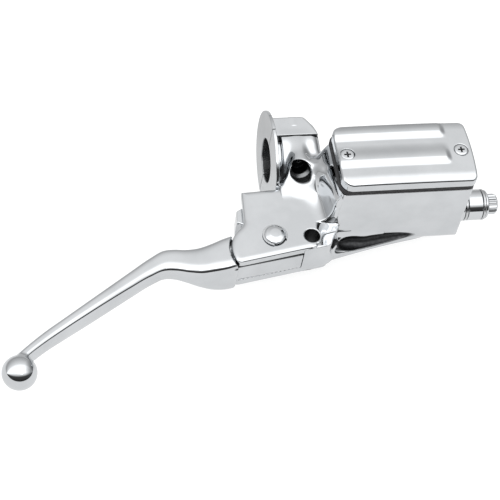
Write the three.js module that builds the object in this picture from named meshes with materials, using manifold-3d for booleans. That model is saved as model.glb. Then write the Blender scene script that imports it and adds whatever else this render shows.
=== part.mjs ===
// Handlebar brake master cylinder with its lever, as an assembly of separate pieces.
//
// Units are millimetres. The origin is on the handlebar's axis, at the clamp flange's outboard
// face. +X runs inboard along the handlebar, +Y to the rear (towards the rider), +Z up.

import * as THREE from 'three';
import { ConvexGeometry } from 'three/addons/geometries/ConvexGeometry.js';
import { mergeVertices } from 'three/addons/utils/BufferGeometryUtils.js';
import Module from 'manifold-3d';

const wasm = await Module();
wasm.setup();

// ---------------------------------------------------------------- driving dimensions

const gap = 0.3; // clearance between pieces that touch
const through = 60; // overshoot of a cutter that goes right through

const bar = { radius: 12.7 };

const clamp = {
  flangeRadius: 28.5,
  flangeThickness: 2,
  grooveEnd: 5.8,
  grooveRadius: 17,
  radius: 21.6,
  shoulderStart: 19.5,
  end: 28.4,
  endRadius: 15,
  earDepth: 13.4, // how far the cap's screw ears reach behind the split
};

const clampScrew = {
  x: 14.5,
  z: 17,
  shankRadius: 2.9,
  tip: -10,
  headRadius: 4.3,
  headHeight: 4,
  socketRadius: 2.2,
  washerRadius: 4.4,
  washerThickness: 1.2,
  pocketRadius: 4.8,
  pocketFloor: 7.5,
  bossRadius: 6.2,
  bossEnd: -19.5,
  mouthRadius: 5.4, // open front end of the tapped hole
  mouthFront: -25,
  mouthStart: -12,
};

const bore = {
  y: -37.9,
  z: -1,
  radius: 8.75,
  start: 9.6, // wall that the lever's slot ends at
  end: 90,
  mouthRadius: 10.6,
  mouthDepth: 4.6,
  portX: [40, 56], // fluid ports behind and ahead of the primary cup
  portRadius: 0.6,
};

const bracket = {
  top: 10.5,
  bottom: -12.5,
  plate: 5,
  rear: -29.2,
  edge: 0.6,
  ledgeDepth: 2.2,
  rootInset: 1,
  rootRear: -15.2,
};

const foot = { top: -6, edge: 2 };

// Blank of the neck: its low outboard end and its high inboard end.
const neckShape = {
  floor: -10,
  outboard: { top: 12.5, front: -36, rear: -16 },
  inboard: { top: 26, front: -50, rear: -15.2 },
};

// Surface turned about a vertical axis that rises from the top plate into clamp and reservoir.
const dish = { x: -9, y: -51, flat: 25, fillet: 15, steps: 6, sides: 56 };

const pivot = { x: -5.9, y: -60.2, pinRadius: 5.6 };
const mirrorHole = { x: 14.9, y: -61.2, radius: 4.3 };

const reservoir = {
  left: 29,
  right: 103.6,
  front: -54,
  rear: -15,
  top: 35.4,
  corner: 4.5,
  wall: 3.2,
  floor: 11,
  postRadius: 4.6,
  tapRadius: 2.2,
  tapDepth: 12,
};

const cover = {
  x: 66,
  y: -33.9,
  length: 75.4,
  width: 41.4,
  corner: 6.5,
  bottom: 39.2,
  top: 46,
  ribHeight: 1.3,
  ribWidth: 6.4,
  ribEnd: 92.4,
  ribY: [-24.3, -41.9],
  screwPitch: 64.4,
  screwHole: 2.4,
  screwShank: 1.9,
  screwLength: 10,
  recessX: 11, // how far the hollow below the lid stays from its ends
  recessY: 5,
};

const gasket = { thickness: 3.2, depth: 6.8, wall: 1.6 };

const port = { bossRadius: 8.9, bossEnd: 108.3, boltRadius: 4.8, washer: 1.5, spacer: 8.4 };

const lever = {
  armLength: 22.7, // pivot to reaction pin
  restAngle: 11, // the reaction pin starts this many degrees outboard of square
  travel: 22, // degrees the lever turns from rest to fully pulled
  tongueBottom: -7.2,
  tongueTop: 5,
  middle: -2.5, // height of the blade's middle plane
  reliefGap: 0.9, // between the grip's root and the bracket's edge
  sweepRadius: 27.4, // clears the bracket's front corner as the lever turns
  ball: { x: -149.6, y: -128.5, radius: 9.3 },
};

// Reaction pin's place at rest, from the arm.
const restAngle = THREE.MathUtils.degToRad(lever.restAngle);
const reactionPin = {
  x: pivot.x - lever.armLength * Math.sin(restAngle),
  y: pivot.y + lever.armLength * Math.cos(restAngle),
  radius: 4.75,
};

// ---------------------------------------------------------------- geometry helpers

function solid(geometry) {
  const bare = geometry.clone();
  for (const name of Object.keys(bare.attributes)) {
    if (name !== 'position') bare.deleteAttribute(name);
  }
  const merged = mergeVertices(bare, 1e-4);
  return new wasm.Manifold(new wasm.Mesh({
    numProp: 3,
    vertProperties: new Float32Array(merged.attributes.position.array),
    triVerts: new Uint32Array(merged.index.array),
  }));
}

function geometryOf(manifold) {
  const mesh = manifold.getMesh();
  const geometry = new THREE.BufferGeometry();
  geometry.setAttribute('position', new THREE.BufferAttribute(mesh.vertProperties, 3));
  geometry.setIndex(new THREE.BufferAttribute(mesh.triVerts, 1));
  geometry.computeVertexNormals();
  return geometry;
}

const union = (pieces) => pieces.reduce((whole, piece) => whole.add(piece));
const cut = (body, cutters) => cutters.reduce((whole, cutter) => whole.subtract(cutter), body);

// A solid of revolution about the line through (y, z) along X; the profile is [x, radius] pairs.
function turnedX(profile, y, z, segments = 24) {
  const points = profile.map(([x, radius]) => new THREE.Vector2(radius, x));
  const geometry = new THREE.LatheGeometry(points, segments);
  geometry.rotateZ(-Math.PI / 2).translate(0, y, z);
  return solid(flippedIfInsideOut(geometry));
}

// A solid of revolution about a vertical line; the profile is [radius, z] pairs.
function turnedZ(profile, x, y, segments = 24) {
  const points = profile.map(([radius, z]) => new THREE.Vector2(radius, z));
  const geometry = new THREE.LatheGeometry(points, segments);
  geometry.rotateX(Math.PI / 2).translate(x, y, 0);
  return solid(flippedIfInsideOut(geometry));
}

// A solid of revolution about the line through (x, z) along Y; the profile is [y, radius] pairs.
function turnedY(profile, x, z, segments = 20) {
  const points = profile.map(([y, radius]) => new THREE.Vector2(radius, y));
  const geometry = new THREE.LatheGeometry(points, segments);
  geometry.translate(x, 0, z);
  return solid(flippedIfInsideOut(geometry));
}

// A lathe profile drawn the other way round gives faces that point inwards.
function flippedIfInsideOut(geometry) {
  const position = geometry.attributes.position;
  const index = geometry.index.array;
  const a = new THREE.Vector3();
  const b = new THREE.Vector3();
  const c = new THREE.Vector3();
  let volume = 0;
  for (let i = 0; i < index.length; i += 3) {
    a.fromBufferAttribute(position, index[i]);
    b.fromBufferAttribute(position, index[i + 1]);
    c.fromBufferAttribute(position, index[i + 2]);
    volume += a.dot(b.cross(c));
  }
  if (volume > 0) return geometry;
  for (let i = 0; i < index.length; i += 3) {
    [index[i], index[i + 1]] = [index[i + 1], index[i]];
  }
  return geometry;
}

function rodX(radius, start, end, y, z, segments) {
  return turnedX([[start, 0], [start, radius], [end, radius], [end, 0]], y, z, segments);
}

function rodY(radius, start, end, x, z, segments) {
  return turnedY([[start, 0], [start, radius], [end, radius], [end, 0]], x, z, segments);
}

function rodZ(radius, start, end, x, y, segments) {
  return turnedZ([[0, start], [radius, start], [radius, end], [0, end]], x, y, segments);
}

function ringX(inner, outer, start, end, y, z, segments) {
  const profile = [[start, inner], [start, outer], [end, outer], [end, inner], [start, inner]];
  return turnedX(profile, y, z, segments);
}

function block(x0, x1, y0, y1, z0, z1) {
  const geometry = new THREE.BoxGeometry(x1 - x0, y1 - y0, z1 - z0);
  geometry.translate((x0 + x1) / 2, (y0 + y1) / 2, (z0 + z1) / 2);
  return solid(geometry);
}

const hull = (points) => solid(new ConvexGeometry(points.map((p) => new THREE.Vector3(...p))));

// A plan outline stood up from z0 to z1; grow swells the outline all round.
function plate(outline, z0, z1, grow = 0) {
  const options = { depth: z1 - z0, bevelEnabled: grow > 0, curveSegments: 5 };
  if (grow > 0) {
    options.bevelSize = grow;
    options.bevelThickness = grow;
    options.bevelSegments = 1;
  }
  const geometry = new THREE.ExtrudeGeometry(outline, options);
  geometry.translate(0, 0, z0);
  return solid(geometry);
}

// A plan outline with small rounded edges at its top and bottom, inside the z0 to z1 height.
function softPlate(outline, z0, z1, round, steps = 2) {
  const geometry = new THREE.ExtrudeGeometry(outline, {
    depth: z1 - z0 - 2 * round,
    bevelEnabled: true,
    bevelSize: round,
    bevelOffset: -round,
    bevelThickness: round,
    bevelSegments: steps,
    curveSegments: 5,
  });
  geometry.translate(0, 0, z0 + round);
  return solid(geometry);
}

function roundedRectangle(left, right, front, rear, corner) {
  const shape = new THREE.Shape();
  shape.moveTo(left + corner, front);
  shape.lineTo(right - corner, front);
  shape.absarc(right - corner, front + corner, corner, -Math.PI / 2, 0);
  shape.lineTo(right, rear - corner);
  shape.absarc(right - corner, rear - corner, corner, 0, Math.PI / 2);
  shape.lineTo(left + corner, rear);
  shape.absarc(left + corner, rear - corner, corner, Math.PI / 2, Math.PI);
  shape.lineTo(left, front + corner);
  shape.absarc(left + corner, front + corner, corner, Math.PI, 1.5 * Math.PI);
  return shape;
}

// ---------------------------------------------------------------- materials

const chrome = { color: 0xd4d8dc, roughness: 0.1, metalness: 1 };
const zincPlate = { color: 0xb4b8bc, roughness: 0.3, metalness: 1 };
const darkSteel = { color: 0x5c6066, roughness: 0.4, metalness: 1 };
const rubber = { color: 0x141414, roughness: 0.75, metalness: 0 };
const bronze = { color: 0x9c6b35, roughness: 0.4, metalness: 1 };
const anodised = { color: 0x8f9499, roughness: 0.35, metalness: 1 };

const assembly = new THREE.Group();

function addPiece(name, manifold, finish) {
  const mesh = new THREE.Mesh(geometryOf(manifold), new THREE.MeshStandardMaterial(finish));
  mesh.name = name;
  assembly.add(mesh);
}

// ---------------------------------------------------------------- clamp

// Flange, barrel and rounded inboard shoulder, turned about the handlebar's axis.
function clampBarrel() {
  const profile = [[0, 0], [0, clamp.flangeRadius], [clamp.flangeThickness, clamp.flangeRadius]];
  profile.push([clamp.flangeThickness, clamp.radius]);
  const steps = 6;
  for (let i = 0; i <= steps; i += 1) {
    const angle = (i / steps) * (Math.PI / 2);
    profile.push([
      clamp.shoulderStart + (clamp.end - clamp.shoulderStart) * Math.sin(angle),
      clamp.endRadius + (clamp.radius - clamp.endRadius) * Math.cos(angle),
    ]);
  }
  profile.push([clamp.end, 0]);
  return turnedX(profile, 0, 0, 48);
}

function clampGroove() {
  return ringX(
    clamp.grooveRadius, clamp.flangeRadius + 5,
    clamp.flangeThickness, clamp.grooveEnd, 0, 0, 48,
  );
}

const barCutter = () => rodX(bar.radius, -20, clamp.end + 20, 0, 0, 48);
const frontHalf = () => block(-5, clamp.end + 5, -through, -gap / 2, -through, through);
const rearHalf = () => block(-5, clamp.end + 5, gap / 2, through, -through, through);

function clampCap() {
  const { x, z, shankRadius, pocketRadius, pocketFloor } = clampScrew;
  const ears = block(
    clamp.flangeThickness - 0.5, 24.4, 0, clamp.earDepth, -clamp.radius - 0.4, clamp.radius + 0.4,
  );
  const inboardTaper = turnedZ(
    [[0, -through], [16.6, -through], [16.6, through], [0, through]], 8.6, 0, 48,
  );
  let cap = clampBarrel().add(ears.intersect(inboardTaper)).intersect(rearHalf());
  for (const side of [1, -1]) {
    cap = cut(cap, [
      rodY(shankRadius + gap + 0.1, -5, through, x, side * z),
      rodY(pocketRadius, pocketFloor, through, x, side * z),
    ]);
  }
  return cap.subtract(barCutter());
}

function clampScrewPiece(side) {
  const { x, z, shankRadius, tip, headRadius, headHeight, socketRadius } = clampScrew;
  const seat = clampScrew.pocketFloor + gap + clampScrew.washerThickness + gap;
  const top = seat + headHeight;
  const body = turnedY([
    [tip, 0], [tip, shankRadius - 0.6], [tip + 0.8, shankRadius], [seat, shankRadius],
    [seat, headRadius], [top - 0.8, headRadius], [top, headRadius - 0.8], [top, 0],
  ], x, side * z);
  const socket = new THREE.CylinderGeometry(socketRadius, socketRadius, 5, 6);
  socket.translate(x, top, side * z);
  return body.subtract(solid(socket));
}

function clampWasher(side) {
  const { x, z, shankRadius, washerRadius, washerThickness } = clampScrew;
  const start = clampScrew.pocketFloor + gap;
  const end = start + washerThickness;
  const inner = shankRadius + gap;
  const profile = [
    [start, inner], [start, washerRadius], [end, washerRadius], [end, inner], [start, inner],
  ];
  return turnedY(profile, x, side * z);
}

// ---------------------------------------------------------------- lever bracket

// Both plates share this outline, seen from above.
function bracketOutline() {
  const shape = new THREE.Shape();
  shape.moveTo(-19.8, -29.1);
  shape.lineTo(-21.0, -47.5);
  shape.bezierCurveTo(-21.6, -53, -25.6, -53.5, -28.2, -58);
  shape.bezierCurveTo(-30.6, -62.2, -31, -67, -29.9, -71.6);
  shape.bezierCurveTo(-29.2, -74.6, -28.4, -76.2, -25.5, -75.9);
  shape.lineTo(8.2, -69.9);
  traceInboardCorner(shape);
  shape.lineTo(31, -28);
  shape.lineTo(1.6, -28);
  return shape;
}

// Inboard front corner, shared by the plates and the root between them.
function traceInboardCorner(shape) {
  shape.lineTo(22.5, -67.6);
  shape.quadraticCurveTo(25.6, -67, 26.2, -64);
  shape.lineTo(31, -56);
}

// Solid stretch behind and inboard of the lever's slot.
function bracketRoot() {
  const shape = new THREE.Shape();
  const left = clamp.flangeThickness + gap;
  shape.moveTo(bore.start, -70.1);
  traceInboardCorner(shape);
  shape.lineTo(31, bracket.rootRear);
  shape.lineTo(left, bracket.rootRear);
  shape.lineTo(left, bracket.rear);
  shape.lineTo(bore.start, bracket.rear);
  return plate(shape, bracket.bottom + bracket.rootInset, bracket.top - bracket.rootInset);
}

// Lower ledge beyond the mirror boss, at the plate's inboard front corner.
function cornerLedge() {
  const shape = new THREE.Shape();
  shape.moveTo(14.5, -73);
  shape.lineTo(17, -66.8);
  shape.bezierCurveTo(20.6, -66, 20, -61.2, 23.4, -60);
  shape.lineTo(27, -59.2);
  shape.lineTo(36, -58);
  shape.lineTo(36, -73);
  return plate(shape, bracket.top - bracket.ledgeDepth, through);
}

// Concave dish that blends the top plate into the clamp and the reservoir.
function blendDish() {
  const { x, y, flat, fillet, steps, sides } = dish;
  const profile = [[0, bracket.top]];
  for (let i = 0; i <= steps; i += 1) {
    const angle = (i / steps) * (Math.PI / 2);
    profile.push([flat + fillet * Math.sin(angle), bracket.top + fillet * (1 - Math.cos(angle))]);
  }
  profile.push([flat + fillet, through], [0, through]);
  return turnedZ(profile, x, y, sides);
}

// Mass of metal between the clamp, the plates and the reservoir, before the dish is cut.
function neckBlank() {
  const ends = [
    [clamp.flangeThickness + gap, neckShape.outboard],
    [reservoir.left + reservoir.wall - 0.2, neckShape.inboard],
  ];
  return hull(ends.flatMap(([x, { top, front, rear }]) => [
    [x, rear, top], [x, front, top], [x, rear, neckShape.floor], [x, front, neckShape.floor],
  ]));
}

// ---------------------------------------------------------------- reservoir and bore housing

function reservoirBlock() {
  const { left, right, front, rear, top, corner } = reservoir;
  const planOutline = roundedRectangle(left, right, front, rear, corner);
  const section = new THREE.Shape();
  section.moveTo(front, top + 1);
  section.lineTo(front, -4.5);
  section.bezierCurveTo(front, -9, front + 4, bracket.bottom, front + 9, bracket.bottom);
  section.lineTo(rear - 14, bracket.bottom);
  section.bezierCurveTo(rear - 7, bracket.bottom, rear, -6, rear, 0);
  section.lineTo(rear, top + 1);
  const alongX = new THREE.ExtrudeGeometry(section, {
    depth: 100, bevelEnabled: false, curveSegments: 5,
  });
  // The section is drawn in X and Y; this turns it to lie in Y and Z and run along X.
  alongX.applyMatrix4(new THREE.Matrix4().makeBasis(
    new THREE.Vector3(0, 1, 0), new THREE.Vector3(0, 0, 1), new THREE.Vector3(1, 0, 0),
  ));
  alongX.translate(10, 0, 0);
  return plate(planOutline, -30, top).intersect(solid(alongX));
}

// Low rib that sweeps from the bracket's front corner along the housing's foot.
function sweptFoot() {
  const shape = new THREE.Shape();
  shape.moveTo(18, -66);
  shape.lineTo(25.5, -64.6);
  shape.bezierCurveTo(40, -61, 56, -56.5, 76, -53.2);
  shape.bezierCurveTo(86, -51.5, 92, -48.5, 98, -42);
  shape.lineTo(18, -42);
  return softPlate(shape, bracket.bottom, foot.top, foot.edge);
}

function reservoirCavity() {
  const { left, right, front, rear, corner, wall, floor } = reservoir;
  const outline = roundedRectangle(left + wall, right - wall, front + wall, rear - wall, corner - 2);
  const cavity = plate(outline, floor, reservoir.top + 5);
  const posts = coverScrewPlaces().map((x) => (
    rodZ(reservoir.postRadius, floor - 1, reservoir.top + 6, x, cover.y, 20)
  ));
  return cut(cavity, posts);
}

const coverScrewPlaces = () => [cover.x - cover.screwPitch / 2, cover.x + cover.screwPitch / 2];

function boreCutters() {
  const { y, z, radius, start, end, mouthRadius, mouthDepth } = bore;
  return [
    rodX(radius, start - 1, end, y, z),
    rodX(mouthRadius, start - 1, start + mouthDepth, y, z),
    ringX(radius - 1, radius + 1.1, start + mouthDepth + 0.6, start + mouthDepth + 2.4, y, z),
    rodX(port.boltRadius + gap, end - 1, port.bossEnd + 5, y, z, 24),
    ...bore.portX.map((x) => rodZ(bore.portRadius, z, reservoir.floor + 1, x, y, 10)),
  ];
}

function housing() {
  const { x, z, shankRadius, bossRadius, bossEnd } = clampScrew;
  const { mouthRadius, mouthFront, mouthStart } = clampScrew;
  const barrel = clampBarrel().subtract(clampGroove());
  const bosses = [1, -1].map((side) => rodY(bossRadius, bossEnd, 0, x, side * z));
  const clampHalf = union([barrel, ...bosses]);

  const { edge } = bracket;
  const top = softPlate(bracketOutline(), bracket.top - bracket.plate, bracket.top, edge);
  const bottom = softPlate(bracketOutline(), bracket.bottom, bracket.bottom + bracket.plate, edge);
  const neck = cut(neckBlank(), [blendDish()]);
  const portBoss = turnedX([
    [98, 0], [98, port.bossRadius + 2.5], [103, port.bossRadius], [port.bossEnd - 0.8, port.bossRadius],
    [port.bossEnd, port.bossRadius - 0.8], [port.bossEnd, 0],
  ], bore.y, bore.z);

  const blank = union([
    clampHalf.intersect(frontHalf()), top, bottom, bracketRoot(), neck,
    sweptFoot(), reservoirBlock(), portBoss,
  ]);

  const slot = block(
    -through, bore.start, -through * 2, bracket.rear,
    bracket.bottom + bracket.plate, bracket.top - bracket.plate,
  );
  const screwHoles = [1, -1].flatMap((side) => [
    rodY(shankRadius + gap, mouthStart - 1, 5, x, side * z),
    rodY(mouthRadius, mouthFront, mouthStart, x, side * z),
  ]);
  const pivotHole = rodZ(pivot.pinRadius + gap, -through, through, pivot.x, pivot.y);
  const stemHole = rodZ(mirrorHole.radius, -through, through, mirrorHole.x, mirrorHole.y);
  const coverTaps = coverScrewPlaces().map((sx) => (
    rodZ(reservoir.tapRadius, reservoir.top - reservoir.tapDepth, through, sx, cover.y, 16)
  ));
  return cut(blank, [
    slot, barCutter(), pivotHole, stemHole, reservoirCavity(),
    cornerLedge(), ...screwHoles, ...coverTaps, ...boreCutters(),
  ]);
}

// ---------------------------------------------------------------- cover and gasket

function coverPlate() {
  const { x, y, length, width, corner, bottom, top, ribHeight, ribWidth, ribEnd, ribY } = cover;
  const outline = roundedRectangle(
    x - length / 2, x + length / 2, y - width / 2, y + width / 2, corner,
  );
  const ribs = ribY.map((middle) => {
    const rib = new THREE.Shape();
    rib.moveTo(x - length / 2 + 2, middle - ribWidth / 2);
    rib.lineTo(ribEnd - ribWidth / 2, middle - ribWidth / 2);
    rib.absarc(ribEnd - ribWidth / 2, middle, ribWidth / 2, -Math.PI / 2, Math.PI / 2);
    rib.lineTo(x - length / 2 + 2, middle + ribWidth / 2);
    return softPlate(rib, top - 1.5, top + ribHeight, 1.2, 2);
  });
  const halfX = length / 2 - cover.recessX;
  const halfY = width / 2 - cover.recessY;
  const recess = roundedRectangle(x - halfX, x + halfX, y - halfY, y + halfY, 4);
  const screwHoles = coverScrewPlaces().map((sx) => rodZ(cover.screwHole, 0, through, sx, y, 16));
  return cut(union([softPlate(outline, bottom, top, 1.6, 2), ...ribs]), [
    plate(recess, bottom - 5, bottom + 2), ...screwHoles,
  ]);
}

function coverGasket() {
  const { x, y, length, width, corner } = cover;
  const bottom = reservoir.top + gap;
  const rimTop = bottom + gasket.thickness;
  const rim = roundedRectangle(
    x - length / 2 + 0.5, x + length / 2 - 0.5, y - width / 2 + 0.5, y + width / 2 - 0.5, corner - 0.5,
  );
  const cupRight = x + cover.screwPitch / 2 - 5.6;
  const cupLeft = x - cover.screwPitch / 2 + 5.6;
  const inset = reservoir.wall + 1.2;
  const cup = roundedRectangle(cupLeft, cupRight, reservoir.front + inset, reservoir.rear - inset, 4);
  const dish = roundedRectangle(
    cupLeft + gasket.wall, cupRight - gasket.wall,
    reservoir.front + inset + gasket.wall, reservoir.rear - inset - gasket.wall, 3,
  );
  const blank = union([plate(rim, bottom, rimTop), plate(cup, bottom - gasket.depth, rimTop)]);
  return cut(blank, [
    plate(dish, bottom - gasket.depth + gasket.wall, rimTop + 5),
    ...coverScrewPlaces().map((sx) => rodZ(cover.screwHole, 0, through, sx, y, 16)),
  ]);
}

// Raised cross-recess screw.
function coverScrew(x) {
  const seat = cover.top + gap;
  const shank = cover.screwShank;
  const tip = reservoir.top - cover.screwLength;
  const profile = [
    [0, tip], [shank, tip], [shank, seat], [3.9, seat], [3.9, seat + 0.5],
    [3.1, seat + 1.3], [1.6, seat + 1.7], [0, seat + 1.8],
  ];
  const arm = { width: 0.9, reach: 1.9, depth: 1.1 };
  const top = seat + 5;
  const bottomOfRecess = seat + 1.8 - arm.depth;
  const bars = [
    block(x - arm.reach, x + arm.reach, cover.y - arm.width / 2, cover.y + arm.width / 2,
      bottomOfRecess, top),
    block(x - arm.width / 2, x + arm.width / 2, cover.y - arm.reach, cover.y + arm.reach,
      bottomOfRecess, top),
  ];
  return cut(turnedZ(profile, x, cover.y, 24), bars);
}

// ---------------------------------------------------------------- lever

// Stations along the lever from root to tip: edges in y and z, and how square the section is.
const bladeStations = [
  { x: -18, front: -74.5, rear: -55, top: 9.6, bottom: -15.2, squareness: 0.34 },
  { x: -27, front: -77.2, rear: -55.6, top: 9.6, bottom: -15.6, squareness: 0.34 },
  { x: -34, front: -78.8, rear: -57.2, top: 9.2, bottom: -15.2, squareness: 0.38 },
  { x: -41, front: -79.3, rear: -59.5, top: 8.4, bottom: -13.8, squareness: 0.44 },
  { x: -48, front: -78.6, rear: -60.6, top: 6.4, bottom: -11.4, squareness: 0.52 },
  { x: -55, front: -76.4, rear: -60.2, top: 4.8, bottom: -9.7, squareness: 0.58 },
  { x: -61, front: -74.4, rear: -59.2, top: 4.1, bottom: -9, squareness: 0.6 },
  { x: -67, front: -73.9, rear: -59.6, top: 3.9, bottom: -8.8, squareness: 0.62 },
  { x: -75, front: -77.3, rear: -64.1, top: 3.9, bottom: -8.9, squareness: 0.62 },
  { x: -86, front: -83.9, rear: -72, top: 4.2, bottom: -9.2, squareness: 0.62 },
  { x: -98, front: -91.4, rear: -80.7, top: 4.4, bottom: -9.4, squareness: 0.62 },
  { x: -110, front: -99, rear: -89.3, top: 4.4, bottom: -9.4, squareness: 0.62 },
  { x: -123, front: -107.2, rear: -98.5, top: 4, bottom: -9, squareness: 0.62 },
  { x: -136, front: -115.8, rear: -107.6, top: 3.4, bottom: -8.4, squareness: 0.62 },
  { x: -147, front: -124.5, rear: -116.6, top: 3.2, bottom: -8.2, squareness: 0.62 },
  { x: -154, front: -131, rear: -122.4, top: 2.6, bottom: -7.6, squareness: 0.7 },
];

// Rounded-square ring of one station, in the plane x = constant.
function stationRing({ x, front, rear, top, bottom, squareness }, sides) {
  const middle = (front + rear) / 2;
  const reach = (rear - front) / 2;
  const height = (top + bottom) / 2;
  const half = (top - bottom) / 2;
  const ring = [];
  for (let i = 0; i < sides; i += 1) {
    const angle = (i / sides) * 2 * Math.PI;
    const across = Math.sign(Math.cos(angle)) * Math.abs(Math.cos(angle)) ** squareness;
    const up = Math.sign(Math.sin(angle)) * Math.abs(Math.sin(angle)) ** squareness;
    ring.push(new THREE.Vector3(x, middle + reach * across, height + half * up));
  }
  return ring;
}

// Closed skin over a row of rings with flat ends.
function lofted(rings) {
  const sides = rings[0].length;
  const points = rings.flat();
  const index = [];
  for (let r = 0; r < rings.length - 1; r += 1) {
    for (let i = 0; i < sides; i += 1) {
      const a = r * sides + i;
      const b = r * sides + ((i + 1) % sides);
      index.push(a, b, a + sides, b, b + sides, a + sides);
    }
  }
  const last = (rings.length - 1) * sides;
  for (let i = 1; i < sides - 1; i += 1) {
    index.push(0, i + 1, i, last, last + i, last + i + 1);
  }
  const geometry = new THREE.BufferGeometry().setFromPoints(points);
  geometry.setIndex(index);
  return solid(flippedIfInsideOut(geometry));
}

// Thin inner end that lies in the bracket's slot, with the tail that works the piston.
function tongueOutline() {
  const shape = new THREE.Shape();
  const swing = bore.start - gap - pivot.x; // the nose clears the slot's end wall as it turns
  const tailRadius = 7.4;
  shape.moveTo(-31, -76.8);
  shape.lineTo(-25.5, -75.7);
  shape.lineTo(bore.start - gap, -70.1);
  shape.lineTo(bore.start - gap, pivot.y);
  shape.absarc(pivot.x, pivot.y, swing, 0, THREE.MathUtils.degToRad(62));
  shape.absarc(reactionPin.x, reactionPin.y, tailRadius, 0, Math.PI / 2);
  shape.lineTo(-23.4, reactionPin.y - 0.6);
  shape.lineTo(-24.4, -46);
  shape.lineTo(-19, -48.3);
  shape.lineTo(-20, -55);
  shape.lineTo(-31, -58);
  return shape;
}

function brakeLever() {
  const { ball, middle, tongueBottom, tongueTop, reliefGap } = lever;
  const rings = bladeStations.map((station) => stationRing(station, 16));
  const knob = new THREE.SphereGeometry(ball.radius, 20, 12);
  knob.translate(ball.x, ball.y, middle);
  const grip = cut(lofted(rings), [plate(bracketOutline(), -30, 30, reliefGap), cornerSweep()]);
  const tongue = softPlate(tongueOutline(), tongueBottom, tongueTop, 0.4, 1);
  return cut(union([grip, solid(knob), tongue]), [
    rodZ(pivot.pinRadius + 2 * gap + 1.7, -30, 30, pivot.x, pivot.y),
    rodZ(reactionPin.radius + gap, -30, 30, reactionPin.x, reactionPin.y),
    pushrodSlot(),
  ]);
}

// Room in the grip's root for the bracket's front corner.
function cornerSweep() {
  const front = block(-through, pivot.x, -2 * through, -70.5, -30, 30);
  return rodZ(lever.sweepRadius, -30, 30, pivot.x, pivot.y, 72).intersect(front);
}

// Window in the tail that the pushrod swings in, towards the rear as the lever is pulled.
function pushrodSlot() {
  const { x, y } = reactionPin;
  const half = 3.1;
  const reach = 12;
  const swing = Math.tan(THREE.MathUtils.degToRad(lever.travel)) * reach;
  const rearEnd = y + half + gap + swing;
  return hull([
    [x, y - half, bore.z - half], [x, y + half, bore.z - half],
    [x, y - half, bore.z + half], [x, y + half, bore.z + half],
    [x + reach, y - half, bore.z - half], [x + reach, rearEnd, bore.z - half],
    [x + reach, y - half, bore.z + half], [x + reach, rearEnd, bore.z + half],
  ]);
}

function leverBushing() {
  const inner = pivot.pinRadius + gap;
  const outer = inner + 1.7;
  const { tongueBottom, tongueTop } = lever;
  return turnedZ([
    [inner, tongueBottom], [outer, tongueBottom], [outer, tongueTop], [inner, tongueTop],
    [inner, tongueBottom],
  ], pivot.x, pivot.y);
}

function reactionPinPiece() {
  const { x, y, radius } = reactionPin;
  const { tongueBottom, tongueTop } = lever;
  const barrel = rodZ(radius, tongueBottom + 0.2, tongueTop - 0.2, x, y);
  return barrel.subtract(rodX(2.1 + gap, x - 1.5, x + 10, bore.y - 0.2, bore.z, 20));
}

function pushrodPiece() {
  const start = reactionPin.x - 1.5 + gap;
  const tip = piston.start + piston.recess - gap;
  return turnedX([
    [start, 0], [start, 2.1], [tip - 3.2, 2.1], [tip - 2.6, 2.9], [tip - 1, 2.6], [tip - 0.2, 1.4],
    [tip, 0],
  ], bore.y - 0.2, bore.z, 20);
}

function pivotPin() {
  const { pinRadius } = pivot;
  const low = bracket.bottom - gap;
  const top = bracket.top;
  return turnedZ([
    [0, low - 1.6], [6.6, low - 1.6], [7, low - 1.2], [7, low], [pinRadius, low],
    [pinRadius, top + 0.5], [pinRadius - 1.2, top + 0.5], [pinRadius - 1.2, top + 1.7],
    [pinRadius, top + 1.7], [pinRadius, top + 2.2], [pinRadius - 0.9, top + 2.9],
    [pinRadius - 2.6, top + 3.4], [0, top + 3.6],
  ], pivot.x, pivot.y);
}

function pivotRetainingRing() {
  const inner = pivot.pinRadius - 1.2 + gap;
  const outer = 7;
  const z0 = bracket.top + 0.5 + gap;
  const z1 = z0 + 0.7;
  const ring = turnedZ([[inner, z0], [outer, z0], [outer, z1], [inner, z1], [inner, z0]], pivot.x, pivot.y);
  const openSide = block(-inner + 0.8, inner - 0.8, -through, 0, z0 - 1, z1 + 1);
  return ring.subtract(openSide.rotate([0, 0, 25]).translate([pivot.x, pivot.y, 0]));
}

// ---------------------------------------------------------------- piston and its seals

const ringGroove = bore.start + bore.mouthDepth + 0.6;
const stopRing = { start: ringGroove + 0.3, thickness: 1.2 };
const stopWasher = { start: stopRing.start + stopRing.thickness + gap, thickness: 1.2 };
const piston = {
  start: stopWasher.start + stopWasher.thickness + gap,
  length: 32,
  recess: 6,
  landRadius: bore.radius - gap,
};

function pistonBoot() {
  const { start, mouthRadius, mouthDepth, y, z } = bore;
  const end = start + mouthDepth - gap;
  const outer = mouthRadius - gap;
  return turnedX([
    [start + 0.2, 3], [start + 0.2, 5], [start + 2, 6.4], [start + 0.4, 8.4], [start + 0.4, outer],
    [end, outer], [end, 8], [start + 3.4, 6.4], [start + 1.6, 4], [start + 1.6, 3], [start + 0.2, 3],
  ], y, z);
}

function pistonStopRing() {
  const { y, z, radius } = bore;
  const ring = ringX(6.9, radius + 0.8, stopRing.start, stopRing.start + stopRing.thickness, y, z);
  const opening = block(0, 100, y - 3, y + 3, z - 20, z);
  const eyes = [-1, 1].map((side) => {
    const eyeY = y + side * 4.6;
    const eyeZ = z - 6;
    const eye = rodX(1.9, stopRing.start, stopRing.start + stopRing.thickness, eyeY, eyeZ, 14);
    return eye.subtract(rodX(0.7, 0, 100, eyeY, eyeZ, 10));
  });
  return union([ring.subtract(opening), ...eyes]);
}

function pistonStopWasher() {
  const { start, thickness } = stopWasher;
  return ringX(4.6, bore.radius - gap, start, start + thickness, bore.y, bore.z);
}

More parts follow.
